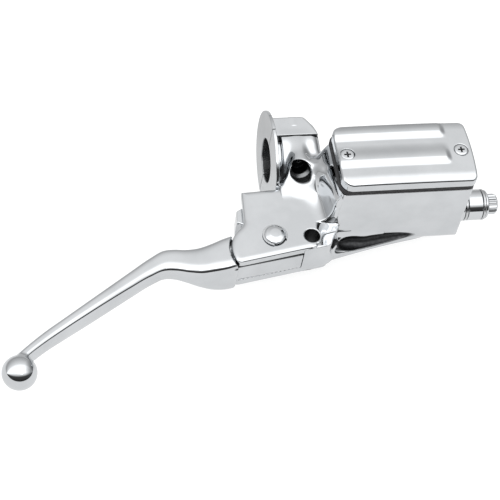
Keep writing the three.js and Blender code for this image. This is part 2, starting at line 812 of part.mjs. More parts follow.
function pistonPiece() {
  const { start, length, recess, landRadius } = piston;
  const front = start + length;
  const profile = [
    [start, 0], [start, 7], [start + 0.8, landRadius], [start + 3.4, landRadius],
    [start + 3.4, 6.6], [start + 6, 6.6], [start + 6, landRadius], [start + 9, landRadius],
    [start + 10.5, 5.6], [front - 5, 5.6], [front - 3.4, landRadius], [front - 0.4, landRadius],
    [front, landRadius - 0.6], [front, 3.4], [front + 4.4, 3.4], [front + 4.4, 0],
  ];
  const body = turnedX(profile, bore.y, bore.z);
  return body.subtract(rodX(3.6, start - 1, start + recess, bore.y, bore.z, 20));
}

function pistonSeal() {
  const { start, landRadius } = piston;
  const inner = 6.6 + gap;
  return ringX(inner, landRadius, start + 3.4 + gap, start + 6 - gap, bore.y, bore.z);
}

function primaryCup() {
  const { start, length, landRadius } = piston;
  const back = start + length + gap;
  return turnedX([
    [back, 3.7], [back, landRadius - 0.5], [back + 4, landRadius], [back + 4, landRadius - 1.2],
    [back + 1.6, landRadius - 2.2], [back + 1.6, 5.4], [back + 3, 5.2], [back + 3, 3.7], [back, 3.7],
  ], bore.y, bore.z);
}

// Helix of round wire between the cup and the bore's end.
class Helix extends THREE.Curve {
  constructor(start, end, radius, turns) {
    super();
    Object.assign(this, { start, end, radius, turns });
  }

  getPoint(t, target = new THREE.Vector3()) {
    const angle = t * this.turns * 2 * Math.PI;
    return target.set(
      this.start + t * (this.end - this.start),
      bore.y + this.radius * Math.cos(angle),
      bore.z + this.radius * Math.sin(angle),
    );
  }
}

function returnSpring() {
  const wire = 0.8;
  const turns = 6;
  const start = piston.start + piston.length + 4.4 + gap + wire;
  const path = new Helix(start, bore.end - gap - wire, 6.2, turns);
  const section = new THREE.Shape();
  section.absarc(0, 0, wire, 0, 2 * Math.PI);
  const geometry = new THREE.ExtrudeGeometry(section, {
    steps: turns * 10, extrudePath: path, curveSegments: 3,
  });
  return solid(flippedIfInsideOut(indexed(geometry)));
}

function indexed(geometry) {
  for (const name of Object.keys(geometry.attributes)) {
    if (name !== 'position') geometry.deleteAttribute(name);
  }
  return mergeVertices(geometry, 1e-4);
}

// ---------------------------------------------------------------- hose port

const portStack = (() => {
  const innerWasher = port.bossEnd + gap;
  const spacer = innerWasher + port.washer + gap;
  const outerWasher = spacer + port.spacer + gap;
  const collar = outerWasher + port.washer + gap;
  return { innerWasher, spacer, outerWasher, collar };
})();

function portWasher(start) {
  const inner = port.boltRadius + gap;
  return ringX(inner, 8.8, start, start + port.washer, bore.y, bore.z);
}

function portSpacer() {
  const { y, z } = bore;
  const start = portStack.spacer;
  const end = start + port.spacer;
  const inner = port.boltRadius + gap;
  return turnedX([
    [start, inner], [start, 8.5], [start + 0.3, 8.8], [end - 0.3, 8.8], [end, 8.5], [end, inner],
    [start, inner],
  ], y, z);
}

// Hollow bolt with a round collar and a twelve-point head.
function portBolt() {
  const { y, z } = bore;
  const { collar } = portStack;
  const headStart = collar + 1.5;
  const headEnd = headStart + 6.2;
  const shank = turnedX([
    [97, 0], [97, port.boltRadius - 0.8], [98, port.boltRadius], [collar, port.boltRadius],
    [collar, 8.2], [collar + 1, 8.2], [headStart, 7.4], [headStart, 0],
  ], y, z);
  const head = new THREE.Shape();
  const points = 12;
  for (let i = 0; i < points * 2; i += 1) {
    const angle = (i / (points * 2)) * 2 * Math.PI;
    const radius = i % 2 ? 5.1 : 5.9;
    const point = [radius * Math.cos(angle), radius * Math.sin(angle)];
    if (i === 0) head.moveTo(...point);
    else head.lineTo(...point);
  }
  const star = new THREE.ExtrudeGeometry(head, { depth: headEnd - headStart + 0.5, bevelEnabled: false });
  star.rotateY(Math.PI / 2).translate(headStart - 0.5, y, z);
  return union([shank, solid(star)]).subtract(rodX(2.6, headEnd - 2.5, headEnd + 5, y, z, 20));
}

// ---------------------------------------------------------------- assembly

addPiece('housing', housing(), chrome);
addPiece('clamp_cap', clampCap(), chrome);
for (const [place, side] of [['upper', 1], ['lower', -1]]) {
  addPiece(`clamp_screw_${place}`, clampScrewPiece(side), chrome);
  addPiece(`clamp_washer_${place}`, clampWasher(side), chrome);
}

addPiece('reservoir_cover', coverPlate(), chrome);
addPiece('cover_gasket', coverGasket(), rubber);
const [outboardScrew, inboardScrew] = coverScrewPlaces();
addPiece('cover_screw_outboard', coverScrew(outboardScrew), chrome);
addPiece('cover_screw_inboard', coverScrew(inboardScrew), chrome);

addPiece('brake_lever', brakeLever(), chrome);
addPiece('lever_bushing', leverBushing(), bronze);
addPiece('pivot_pin', pivotPin(), chrome);
addPiece('pivot_retaining_ring', pivotRetainingRing(), darkSteel);
addPiece('reaction_pin', reactionPinPiece(), zincPlate);
addPiece('pushrod', pushrodPiece(), zincPlate);

addPiece('piston_boot', pistonBoot(), rubber);
addPiece('piston_stop_ring', pistonStopRing(), darkSteel);
addPiece('piston_stop_washer', pistonStopWasher(), zincPlate);
addPiece('piston', pistonPiece(), anodised);
addPiece('piston_seal', pistonSeal(), rubber);
addPiece('primary_cup', primaryCup(), rubber);
addPiece('return_spring', returnSpring(), zincPlate);

addPiece('hose_washer_inner', portWasher(portStack.innerWasher), zincPlate);
addPiece('hose_spacer', portSpacer(), chrome);
addPiece('hose_washer_outer', portWasher(portStack.outerWasher), zincPlate);
addPiece('hose_bolt', portBolt(), chrome);

export default assembly;
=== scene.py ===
"""Looks for a chromed handlebar brake master cylinder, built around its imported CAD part.

Shapes are written in millimetres as distance fields or turned profiles, then meshed in metres.
+X runs inboard along the handlebar, +Y to the rear, +Z up, as in the CAD.
"""

from math import cos, pi, radians, sin, tan
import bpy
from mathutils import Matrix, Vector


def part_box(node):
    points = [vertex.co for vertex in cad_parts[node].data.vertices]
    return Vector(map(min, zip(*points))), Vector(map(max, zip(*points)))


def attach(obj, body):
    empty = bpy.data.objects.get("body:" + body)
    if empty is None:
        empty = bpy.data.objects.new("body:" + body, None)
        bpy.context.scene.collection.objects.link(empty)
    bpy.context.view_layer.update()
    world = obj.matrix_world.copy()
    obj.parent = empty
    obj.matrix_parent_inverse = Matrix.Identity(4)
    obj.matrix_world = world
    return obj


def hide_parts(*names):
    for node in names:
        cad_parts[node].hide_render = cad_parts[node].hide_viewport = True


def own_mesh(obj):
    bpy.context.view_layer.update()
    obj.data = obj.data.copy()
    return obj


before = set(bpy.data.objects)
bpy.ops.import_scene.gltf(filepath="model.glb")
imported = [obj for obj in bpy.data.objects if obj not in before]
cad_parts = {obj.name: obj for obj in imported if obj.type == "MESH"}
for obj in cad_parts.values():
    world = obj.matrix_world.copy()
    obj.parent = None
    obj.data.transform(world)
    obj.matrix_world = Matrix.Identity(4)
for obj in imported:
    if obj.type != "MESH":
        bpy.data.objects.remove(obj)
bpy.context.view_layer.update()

from types import SimpleNamespace as Sizes

import bmesh
import bpy
import numpy as np
from mathutils import Matrix, Vector
from numpy import clip, hypot, maximum, minimum

MM = 0.001
GAP = 0.3
# Cutters reach beyond the piece they cut.
FAR = 60

# ---- outlines


def bezier(p0, p1, p2, p3, steps=20):
    """Points of a cubic curve, without its first one."""
    t = np.linspace(0, 1, steps + 1)[1:, None]
    p0, p1, p2, p3 = (np.array(p, float) for p in (p0, p1, p2, p3))
    curve = (1 - t) ** 3 * p0 + 3 * (1 - t) ** 2 * t * p1 + 3 * (1 - t) * t**2 * p2 + t**3 * p3
    return [tuple(p) for p in curve]


def path(*parts):
    """A line through points; three points in one part are a cubic curve."""
    points = []
    for part in parts:
        points += bezier(points[-1], *part) if isinstance(part[0], tuple) else [part]
    return points


def soft_corners(points, radius, closed=True, steps=5):
    """The same line with its corners rounded."""
    pts = [np.array(p, float) for p in points]
    out = []
    count = len(pts)
    for i, here in enumerate(pts):
        if not closed and i in (0, count - 1):
            out.append(tuple(here))
            continue
        before, after = pts[i - 1], pts[(i + 1) % count]
        to_before, to_after = before - here, after - here
        reach = min(radius, 0.45 * np.linalg.norm(to_before), 0.45 * np.linalg.norm(to_after))
        start = here + to_before / np.linalg.norm(to_before) * reach
        end = here + to_after / np.linalg.norm(to_after) * reach
        for t in np.linspace(0, 1, steps + 1):
            out.append(tuple((1 - t) ** 2 * start + 2 * t * (1 - t) * here + t * t * end))
    return out


def arc(cx, cy, radius, start, end, steps=16):
    """Points on a circle between two angles in degrees."""
    angles = np.radians(np.linspace(start, end, steps + 1))
    return [(cx + radius * cos(a), cy + radius * sin(a)) for a in angles]


class Outline:
    """Signed distance to a closed outline, looked up in a grid."""

    def __init__(self, points, spacing=0.25, margin=4.0):
        pts = np.array(points, float)
        self.low = pts.min(0) - margin
        self.spacing = spacing
        self.count = np.ceil((pts.max(0) + margin - self.low) / spacing).astype(int) + 1
        u = self.low[0] + spacing * np.arange(self.count[0])
        v = self.low[1] + spacing * np.arange(self.count[1])
        uu, vv = np.meshgrid(u, v, indexing="ij")
        nearest = np.full(uu.shape, 1e9)
        inside = np.zeros(uu.shape, bool)
        for a, b in zip(pts, np.roll(pts, -1, axis=0)):
            edge = b - a
            long = max(edge @ edge, 1e-12)
            pu, pv = uu - a[0], vv - a[1]
            t = clip((pu * edge[0] + pv * edge[1]) / long, 0, 1)
            nearest = minimum(nearest, (pu - t * edge[0]) ** 2 + (pv - t * edge[1]) ** 2)
            if a[1] != b[1]:
                spans = (vv >= a[1]) != (vv >= b[1])
                inside ^= spans & (pu < edge[0] * pv / edge[1])
        self.grid = np.sqrt(nearest) * np.where(inside, -1, 1)

    def __call__(self, u, v):
        last = (self.count - 1) * self.spacing
        gu = clip(u - self.low[0], 0, last[0] - 1e-6)
        gv = clip(v - self.low[1], 0, last[1] - 1e-6)
        away = (u - self.low[0] - gu) ** 2 + (v - self.low[1] - gv) ** 2
        gu, gv = gu / self.spacing, gv / self.spacing
        iu, iv = gu.astype(int), gv.astype(int)
        fu, fv = gu - iu, gv - iv
        g = self.grid
        near = (g[iu, iv] * (1 - fu) + g[iu + 1, iv] * fu) * (1 - fv)
        near += (g[iu, iv + 1] * (1 - fu) + g[iu + 1, iv + 1] * fu) * fv
        return np.where(away > 0, np.sqrt(near * near + away), near)


def revolved(points, corner, spacing=0.2):
    """A turned profile that starts and ends on the axis."""
    half = soft_corners(points, corner, closed=False)
    mirror = [(a, -r) for a, r in reversed(half[1:-1])]
    return Outline(half + mirror, spacing)


# ---- distance fields


def join(a, b, k):
    """Union with a fillet of about k."""
    h = maximum(k - np.abs(a - b), 0) / k
    return minimum(a, b) - h * h * k / 4


def both(a, b, k):
    """Intersection with its edge rounded by about k."""
    return -join(-a, -b, k)


def less(a, b, k):
    """a without b, with a rounded edge."""
    return both(a, -b, k)


def cut(d, *holes):
    """d without its holes, which are (distance, edge radius) pairs."""
    for hole, edge in holes:
        d = less(d, hole, edge)
    return d


def rounded(a, b, e):
    """Where two distances meet at an outer edge of radius e."""
    a, b = a + e, b + e
    return minimum(maximum(a, b), 0) + hypot(maximum(a, 0), maximum(b, 0)) - e


def bell(u):
    """A smooth hump of height 1 that reaches 0 at u = 1."""
    return np.where(u < 1, np.cos(clip(u, 0, 1) * pi / 2) ** 2, 0)


def ease(u):
    u = clip(u, 0, 1)
    return u * u * (3 - 2 * u)


def slab(u, low, high):
    return np.abs(u - (low + high) / 2) - (high - low) / 2


def rod(u, v, along, low, high, radius, e):
    """A cylinder: u and v are measured from its axis."""
    return rounded(hypot(u, v) - radius, slab(along, low, high), e)


def panel(x, y, left, right, front, rear, corner):
    """A rectangle with round corners."""
    return rounded(slab(x, left, right), slab(y, front, rear), corner)


def box_field(p, low, high, e):
    x, y, z = p
    plan = panel(x, y, low[0], high[0], low[1], high[1], e)
    return rounded(plan, slab(z, low[2], high[2]), e)


# ---- meshing a field

BLOCK = 8
# A block's middle to its corners, in block sizes, and a little more.
BLOCK_REACH = 0.9
BATCH, CHUNK = 500, 400_000
CORNERS = [(i, j, k) for i in (0, 1) for j in (0, 1) for k in (0, 1)]
EDGES = [(a, b) for a in range(8) for b in range(a + 1, 8)
         if sum(abs(p - q) for p, q in zip(CORNERS[a], CORNERS[b])) == 1]


def field_at(field, points):
    out = np.empty(len(points))
    for i in range(0, len(points), CHUNK):
        part = points[i:i + CHUNK]
        out[i:i + len(part)] = field(*part.T)
    return out


def slope_at(field, points, reach=0.12):
    change = [field_at(field, points + step) - field_at(field, points - step)
              for step in reach * np.eye(3)]
    return np.stack(change, 1) / (2 * reach)


def settle(field, points, limit, rounds=2):
    """Moves points onto the field's surface."""
    for _ in range(rounds):
        slope = slope_at(field, points)
        square = maximum((slope**2).sum(1), 1e-3)
        move = -slope * (field_at(field, points) / square)[:, None]
        size = np.linalg.norm(move, axis=1)
        move *= minimum(1, limit / maximum(size, 1e-9))[:, None]
        points = points + move
    return points


def lattice(*counts):
    """Every whole-numbered point of a box."""
    ticks = [np.arange(count) for count in counts]
    return np.stack(np.meshgrid(*ticks, indexing="ij"), -1).reshape(-1, len(counts))


def surface(field, low, high, cell):
    """Points and quads of the field's zero surface inside a box."""
    low = np.array(low, float) - 1.5 * cell
    step = BLOCK * cell
    blocks = np.ceil((np.array(high, float) + 1.5 * cell - low) / step).astype(int)
    index = lattice(*blocks)
    middle = low + (index + 0.5) * step
    index = index[np.abs(field_at(field, middle)) < BLOCK_REACH * step + cell]
    side = BLOCK + 1
    offsets = lattice(side, side, side)
    values = np.empty((len(index), side**3))
    for i in range(0, len(index), BATCH):
        part = index[i:i + BATCH]
        points = low + (part[:, None, :] * BLOCK + offsets[None]) * cell
        values[i:i + len(part)] = field(*points.reshape(-1, 3).T).reshape(len(part), -1)
    values = values.reshape(-1, side, side, side)
    inner = values < 0

    def shifted(i, j, k):
        return inner[:, i:i + BLOCK, j:j + BLOCK, k:k + BLOCK]

    count = sum(shifted(*corner).astype(np.int8) for corner in CORNERS)
    b, ci, cj, ck = np.nonzero((count > 0) & (count < 8))
    corner_values = np.stack([values[b, ci + i, cj + j, ck + k] for i, j, k in CORNERS], 1)
    total = np.zeros((len(b), 3))
    hits = np.zeros(len(b))
    for a, c in EDGES:
        fa, fc = corner_values[:, a], corner_values[:, c]
        crosses = (fa < 0) != (fc < 0)
        t = np.where(crosses, fa / np.where(crosses, fa - fc, 1), 0)[:, None]
        place = np.array(CORNERS[a]) * (1 - t) + np.array(CORNERS[c]) * t
        total += np.where(crosses[:, None], place, 0)
        hits += crosses
    cells = index[b] * BLOCK + np.stack([ci, cj, ck], 1)
    points = low + (cells + total / hits[:, None]) * cell
    size = blocks * BLOCK + 2
    strides = np.array([size[1] * size[2], size[2], 1])
    keys = cells @ strides
    order = np.argsort(keys)
    sorted_keys = keys[order]
    quads = []
    for axis in range(3):
        second, third = (axis + 1) % 3, (axis + 2) % 3
        here, there = shifted(0, 0, 0), shifted(*np.eye(3, dtype=int)[axis])
        e, ei, ej, ek = np.nonzero(here != there)
        outward = here[e, ei, ej, ek]
        base = index[e] * BLOCK + np.stack([ei, ej, ek], 1)
        corners = []
        for du, dv in ((-1, -1), (0, -1), (0, 0), (-1, 0)):
            cell_at = base.copy()
            cell_at[:, second] += du
            cell_at[:, third] += dv
            key = cell_at @ strides
            found = minimum(np.searchsorted(sorted_keys, key), len(keys) - 1)
            corners.append(np.where(sorted_keys[found] == key, order[found], -1))
        quad = np.stack(corners, 1)
        quad[~outward] = quad[~outward][:, ::-1]
        quads.append(quad[(quad >= 0).all(1)])
    return points, np.concatenate(quads)


def raw_mesh(name, points, faces):
    """A mesh whose faces all have the same number of sides."""
    mesh = bpy.data.meshes.new(name)
    mesh.vertices.add(len(points))
    mesh.vertices.foreach_set("co", (points * MM).astype(np.float32).ravel())
    sides = faces.shape[1]
    mesh.loops.add(faces.size)
    mesh.loops.foreach_set("vertex_index", faces.astype(np.int32).ravel())
    mesh.polygons.add(len(faces))
    mesh.polygons.foreach_set("loop_start", np.arange(0, faces.size, sides, dtype=np.int32))
    mesh.update(calc_edges=True)
    return mesh


def read(items, name, width=3, kind=np.float32):
    """One property of all vertices, corners or faces."""
    values = np.empty(len(items) * width, kind)
    items.foreach_get(name, values)
    return values.reshape(-1, 3) if width == 3 else values


def linked(name, mesh):
    piece = bpy.data.objects.new(name, mesh)
    bpy.context.scene.collection.objects.link(piece)
    return piece


def store(mesh, name, values):
    layer = mesh.attributes.new(name, "FLOAT", "CORNER")
    layer.data.foreach_set("value", clip(values, 0, 1).astype(np.float32))


# A face that leans more than this off the surface lies across a crease.
CREASE = radians(9)
# How far a corner's second look lies towards the middle of its face.
INWARD = 0.35
# A second look further away than this, in mm, also gives the corner its marks.
WIDE = 0.25
# The bends, in 1/mm, over which wear, and grime with painted shade, grow from 0 to 1.
BEND = Sizes(least=0.4, span=2.2)


def bend_at(field, points, reach=0.35):
    """How sharply the surface turns: above 0 on edges, below 0 in corners."""
    bend = -6 * field_at(field, points)
    for step in reach * np.eye(3):
        bend += field_at(field, points + step) + field_at(field, points - step)
    return bend / reach**2


def unit(vectors):
    return vectors / maximum(np.linalg.norm(vectors, axis=1), 1e-9)[:, None]


def shade_corners(mesh, field, points, hollow_shade):
    """Exact normals and marks per face corner, so that a crease never bleeds into a flat.

    A corner is looked at twice: at its vertex, and at a point a little way into its face.
    """
    vertex = read(mesh.loops, "vertex_index", 1, np.int32)
    sides = read(mesh.polygons, "loop_total", 1, np.int32)
    face = np.repeat(np.arange(len(sides)), sides)
    near = (1 - INWARD) * points[vertex] + INWARD * read(mesh.polygons, "center")[face] / MM
    facing = read(mesh.polygons, "normal")[face]
    normals = unit(slope_at(field, points))[vertex]
    crease = (normals * facing).sum(axis=1) < cos(CREASE)
    normals[crease] = unit(slope_at(field, near[crease]))
    mesh.shade_smooth()
    mesh.normals_split_custom_set(normals.astype(np.float32))

    wide = np.linalg.norm(near - points[vertex], axis=1) > WIDE
    bend = bend_at(field, points)[vertex]
    bend[wide] = bend_at(field, near[wide])
    store(mesh, "wear", (bend - BEND.least) / BEND.span)
    # Corners and creases get grime and a painted shade, darker the sharper they bend inward.
    store(mesh, "grime_and_shade", (-bend - BEND.least) / BEND.span)
    # Painted shade inside holes, hollows and gaps.
    if hollow_shade:
        dark = hollow_shade(*points.T)[vertex]
        dark[wide] = hollow_shade(*near[wide].T)
        store(mesh, "hollow_shade", dark)


def sculpted(name, field, low, high, cell, keep=0.4, hollow_shade=None):
    """A piece meshed from its field, thinned where it is flat, with exact normals.

    The last argument tells how dark to paint the shade inside each hole, hollow and gap.
    """
    points, quads = surface(field, low, high, cell)
    points = settle(field, points, 0.6 * cell)
    piece = linked(name, raw_mesh(name, points, quads))
    if keep < 1:
        thin = piece.modifiers.new("thin", "DECIMATE")
        thin.ratio = keep
        bpy.context.view_layer.update()
        solved = piece.evaluated_get(bpy.context.evaluated_depsgraph_get())
        mesh = bpy.data.meshes.new_from_object(solved)
        piece.modifiers.clear()
        old, piece.data = piece.data, mesh
        bpy.data.meshes.remove(old)
        mesh.name = name
    mesh = piece.data
    points = settle(field, read(mesh.vertices, "co").astype(float) / MM, 0.2 * cell, rounds=1)
    mesh.vertices.foreach_set("co", (points * MM).astype(np.float32).ravel())
    mesh.update()
    shade_corners(mesh, field, points, hollow_shade)
    return piece


# ---- shared dimensions

BAR_RADIUS = 12.7
FLANGE = Sizes(radius=28.48, thick=2.0)
CLAMP = Sizes(groove_end=5.8, groove=17.0, radius=21.6, shoulder=22.0, end=28.4, end_radius=16.0)
SCREW = Sizes(x=14.5, z=17.0, seat=7.5, washer=1.2)
MOUTH = Sizes(x=13.9, y=-21.0, z=18.4, radius=4.9, tilt=radians(20), flare=1.3, depth=2.2)
BORE = Sizes(y=-37.9, z=-1.0, radius=8.75, start=9.6, end=90, mouth=10.6, mouth_depth=4.6, port=5.1)
PLATES = Sizes(top=10.5, bottom=-12.5, thick=5.0, rear=-29.2, step=1.4)
PIVOT = Sizes(x=-5.9, y=-60.2, pin=5.6)
MIRROR = Sizes(x=14.9, y=-61.2, radius=4.3)
WALLS = Sizes(left=29.0, right=103.6, front=-54.0, rear=-15.0, top=35.4, corner=2.5)
COVER = Sizes(x=66.0, y=-33.9, length=75.4, width=41.4, bottom=39.2, top=46.2)
COVER_SCREWS = (33.8, 98.2)
CROSS_PIN = Sizes(x=-10.231, y=-37.917, radius=4.75)
SPRING = Sizes(start=54.8, end=89.7, radius=6.2, wire=0.8, turns=6, stroke=8.7)


def from_axis(x, y, axis):
    return hypot(x - axis.x, y - axis.y)


def from_screw(x, z, side):
    """A place relative to the upper (1) or lower (-1) clamp screw."""
    return x - SCREW.x, z - side * SCREW.z


def from_bore(y, z):
    return y - BORE.y, z - BORE.z


# ---- clamp


def barrel_outline():
    """Profile along the bar: a groove beside the flange, then the round-ended barrel."""
    quarter = arc(0, 0, 1, 90, 0, steps=12)
    reach, drop = CLAMP.end - CLAMP.shoulder, CLAMP.radius - CLAMP.end_radius
    profile = [(0.5, 0), (0.5, CLAMP.groove), (CLAMP.groove_end, CLAMP.groove)]
    profile += [(CLAMP.groove_end, CLAMP.radius)]
    profile += [(CLAMP.shoulder + reach * u, CLAMP.end_radius + drop * v) for u, v in quarter]
    return revolved(profile + [(CLAMP.end, 0)], 0.5)


barrel_2d = barrel_outline()


def barrel_field(x, y, z):
    return barrel_2d(x, hypot(y, z))


def flange_field(x, y, z):
    return rod(y, z, x, 0, FLANGE.thick, FLANGE.radius, 0.5)


def bar_hole(y, z):
    return hypot(y, z) - BAR_RADIUS


EARS = Sizes(low=(1.8, -1, -22.2), high=(27.6, 13.6, 22.2), bend=-13, bend_radius=43.2,
             boss=5.3, boss_start=6.6, socket=4.7, shank=3.3)


def cap_field(x, y, z):
    """The rear half of the clamp, with an ear for each screw."""
    ears = box_field((x, y, z), EARS.low, EARS.high, 1.2)
    ears = both(ears, hypot(x - EARS.bend, y - EARS.bend) - EARS.bend_radius, 2.0)
    d = join(join(barrel_field(x, y, z), flange_field(x, y, z), 0.6), ears, 1.2)
    for side in (1, -1):
        boss = rod(*from_screw(x, z, side), y, EARS.boss_start, EARS.high[1], EARS.boss, 0.8)
        d = join(d, boss, 0.4)
    d = both(d, GAP / 2 - y, 0.5)
    for side in (1, -1):
        u, v = from_screw(x, z, side)
        d = less(d, rod(u, v, y, SCREW.seat, FAR, EARS.socket, 0.1), 0.5)
        d = less(d, rod(u, v, y, -5, FAR, EARS.shank, 0.1), 0.3)
    return less(d, bar_hole(y, z), 0.7)


# ---- housing

INBOARD_CORNER = path((22.5, -67.6), ((24.6, -67.2), (25.8, -66), (26.2, -64)), (31, -56))

# Plan of the two plates that hold the lever.
bracket_2d = Outline(path(
    (-19.8, -29.1), (-21.0, -47.5), ((-21.6, -53), (-25.6, -53.5), (-28.2, -58)),
    ((-30.6, -62.2), (-31, -67), (-29.9, -71.6)), ((-29.2, -74.6), (-28.4, -76.2), (-25.5, -75.9)),
    (8.2, -69.9), *INBOARD_CORNER, (31, -28), (1.6, -28)))

# Plan of the solid metal that joins the plates, around the bore.
root_2d = Outline([(BORE.start, -70.1), *INBOARD_CORNER, (31, -15.2), (2.3, -15.2),
                   (2.3, PLATES.rear), (BORE.start, PLATES.rear)])

# Plan of the shallow step in the top plate beside the mirror's hole.
ledge_2d = Outline(path((14.5, -74), (17, -66.8), ((20.6, -66), (20, -61.2), (23.4, -60)),
                        (27, -59.2), (36, -58), (36, -74)))

# Plan of the foot that runs along under the front wall.
foot_2d = Outline(path((18, -66), (25.5, -64.6), ((40, -61), (56, -56.5), (76, -53.2)),
                       ((86, -51.5), (92, -48.5), (98, -42)), (18, -42)))

# Plan of the metal that rises behind the top plate between the clamp and the reservoir.
neck_2d = Outline(path((8, -14), (10.5, -21), (17.5, -28), ((23.5, -33.5), (27, -39), (28, -47)),
                       (29, -53), (38, -53), (38, -14)))

# Profile of the boss that the hose bolt screws into.
port_2d = revolved([(94, 0), (94, 13), (98, 11.6), (103.2, 9.2), (108.3, 8.9), (108.3, 0)], 0.6)


def wall_section():
    """The reservoir seen along the bar, carried on above its rim."""
    front, rear, base = WALLS.front, WALLS.rear, PLATES.bottom
    return Outline(path(
        (front, FAR), (front, -4.5), ((front, -9), (front + 4, base), (front + 9, base)),
        (rear - 14, base), ((rear - 7, base), (rear, -6), (rear, 0)), (rear, FAR)))


wall_2d = wall_section()

NECK = Sizes(bottom=-10, top=40, rear=-15.6, climb=0.46, climb_x=2.3, climb_z=13.5,
             roof=12, roof_fall=0.8, roof_lift=0.12, roof_x=15, steep=1.6, edge=3.0)


def neck_field(x, y, z):
    """It climbs towards the reservoir and falls away at its outline."""
    plan = neck_2d(x, y)
    d = rounded(plan, slab(z, NECK.bottom, NECK.top), 0.3)
    lift = NECK.roof_lift * maximum(x - NECK.roof_x, 0) ** 2
    d = both(d, (z - NECK.roof + NECK.roof_fall * plan - lift) / NECK.steep, NECK.edge)
    d = both(d, y - NECK.rear, NECK.edge)
    over = z - NECK.climb_z - NECK.climb * (x - NECK.climb_x)
    return both(d, over / hypot(1, NECK.climb), NECK.edge)


def mouth_place(x, y, z):
    """Distances ahead of the upper screw hole's mouth and from its axis."""
    ahead, above = y - MOUTH.y, z - MOUTH.z
    out = above * sin(MOUTH.tilt) - ahead * cos(MOUTH.tilt)
    rise = ahead * sin(MOUTH.tilt) + above * cos(MOUTH.tilt)
    return out, hypot(x - MOUTH.x, rise)


BOSS = Sizes(radius=3.6, swell=0.14, swell_end=22, upper_front=-32, lower_front=-20.5, rear=4, drop=11)


def screw_boss(x, y, z, side):
    """A clamp screw's boss, wider towards the front.

    The upper one is drawn out downwards into a pillar, and ends at the hole's tilted mouth.
    """
    radius = BOSS.radius + BOSS.swell * clip(-y, 0, BOSS.swell_end)
    above = side * z - SCREW.z
    if side < 0:
        return rod(x - SCREW.x, above, y, BOSS.lower_front, BOSS.rear, radius, 1.0)
    above = maximum(maximum(above, -BOSS.drop - above), 0)
    boss = rod(x - SCREW.x, above, y, BOSS.upper_front, BOSS.rear, radius, 1.0)
    return both(boss, mouth_place(x, y, z)[0], 1.6)


def mouth_cutter(x, y, z):
    """The mouth, flared along its lower lip."""
    out, radius = mouth_place(x, y, z)
    lower = ease((MOUTH.z + 1 - z) / 4)
    flare = MOUTH.flare * clip((out + MOUTH.depth) / MOUTH.depth, 0, 1) * lower
    return rounded((radius - MOUTH.radius - flare) * 0.8, slab(out, -9, 12), 0.3)


def egg(x, y, z, centre, radii, scale):
    """Roughly the distance to an ellipsoid."""
    parts = [((p - c) / r) ** 2 for p, c, r in zip((x, y, z), centre, radii)]
    return (np.sqrt(parts[0] + parts[1] + parts[2]) - 1) * scale


SCOOP = Sizes(x=54.3, y=-56.9, z=-4.9, turn=radians(8.7), radii=(21.5, 3.7, 3.6), scale=3.2,
              end=(41, -57, -4.6), end_radii=(7.5, 3.2, 3.4))


def scoop_field(x, y, z):
    """The long hollow over the foot, blunt at its outboard end."""
    along, across = x - SCOOP.x, y - SCOOP.y
    u = along * cos(SCOOP.turn) + across * sin(SCOOP.turn)
    v = across * cos(SCOOP.turn) - along * sin(SCOOP.turn)
    hollow = egg(u, v, z - SCOOP.z, (0, 0, 0), SCOOP.radii, SCOOP.scale)
    return join(hollow, egg(x, y, z, SCOOP.end, SCOOP.end_radii, SCOOP.scale), 1.5)


BEVEL = Sizes(slant=radians(28), depth=1.8, outboard_of=17, fade=5)
LEAN = Sizes(slope=0.1, inboard_of=17.5, fade=6, front_of=-52)


def plates_field(x, y, z):
    """The two plates and the root between them.

    The top plate has a bevelled edge, and leans forward slightly at its inboard corner.
    """
    flat = bracket_2d(x, y)
    top = rounded(flat, slab(z, PLATES.top - PLATES.thick, PLATES.top), 0.6)
    reach = BEVEL.depth * ease((BEVEL.outboard_of - x) / BEVEL.fade)
    above = z - PLATES.top
    top = both(top, above * cos(BEVEL.slant) + (flat + reach) * sin(BEVEL.slant), 0.8)
    lean = LEAN.slope * ease((x - LEAN.inboard_of) / LEAN.fade)
    top = both(top, above + lean * maximum(LEAN.front_of - y, 0), 0.4)
    low = rounded(flat, slab(z, PLATES.bottom, PLATES.bottom + PLATES.thick), 0.7)
    root = rounded(root_2d(x, y), slab(z, PLATES.bottom + 1, PLATES.top - PLATES.step), 0.3)
    return join(join(top, low, 0.3), root, 0.4)


def walls_field(x, y, z):
    """The reservoir and the cylinder under it, filled."""
    d = panel(x, y, WALLS.left, WALLS.right, WALLS.front, WALLS.rear, WALLS.corner)
    d = both(maximum(d, slab(z, -40, WALLS.top)), wall_2d(y, z), 0.8)
    return maximum(d, rounded(x - WALLS.right, PLATES.bottom - z, 3.0))


def half_barrel(x, y, z):
    """The front half of the clamp, with its screw bosses."""
    d = barrel_field(x, y, z)
    for side in (1, -1):
        d = join(d, screw_boss(x, y, z, side), 3.5)
    return both(d, y + GAP / 2, 0.5)


def filleted(a, b, k, outside, edge=0.6):
    """A tight union, with a wide fillet of about k wherever outside is below 0."""
    return minimum(join(a, b, 1.6), both(join(a, b, k), outside, edge))


FILLET = Sizes(tight=1.6, neck=10, walls=9, clamp=6, foot=9, fade_from=-64, fade=7, front=-53.6,
               above=3, below=-9, right=60)


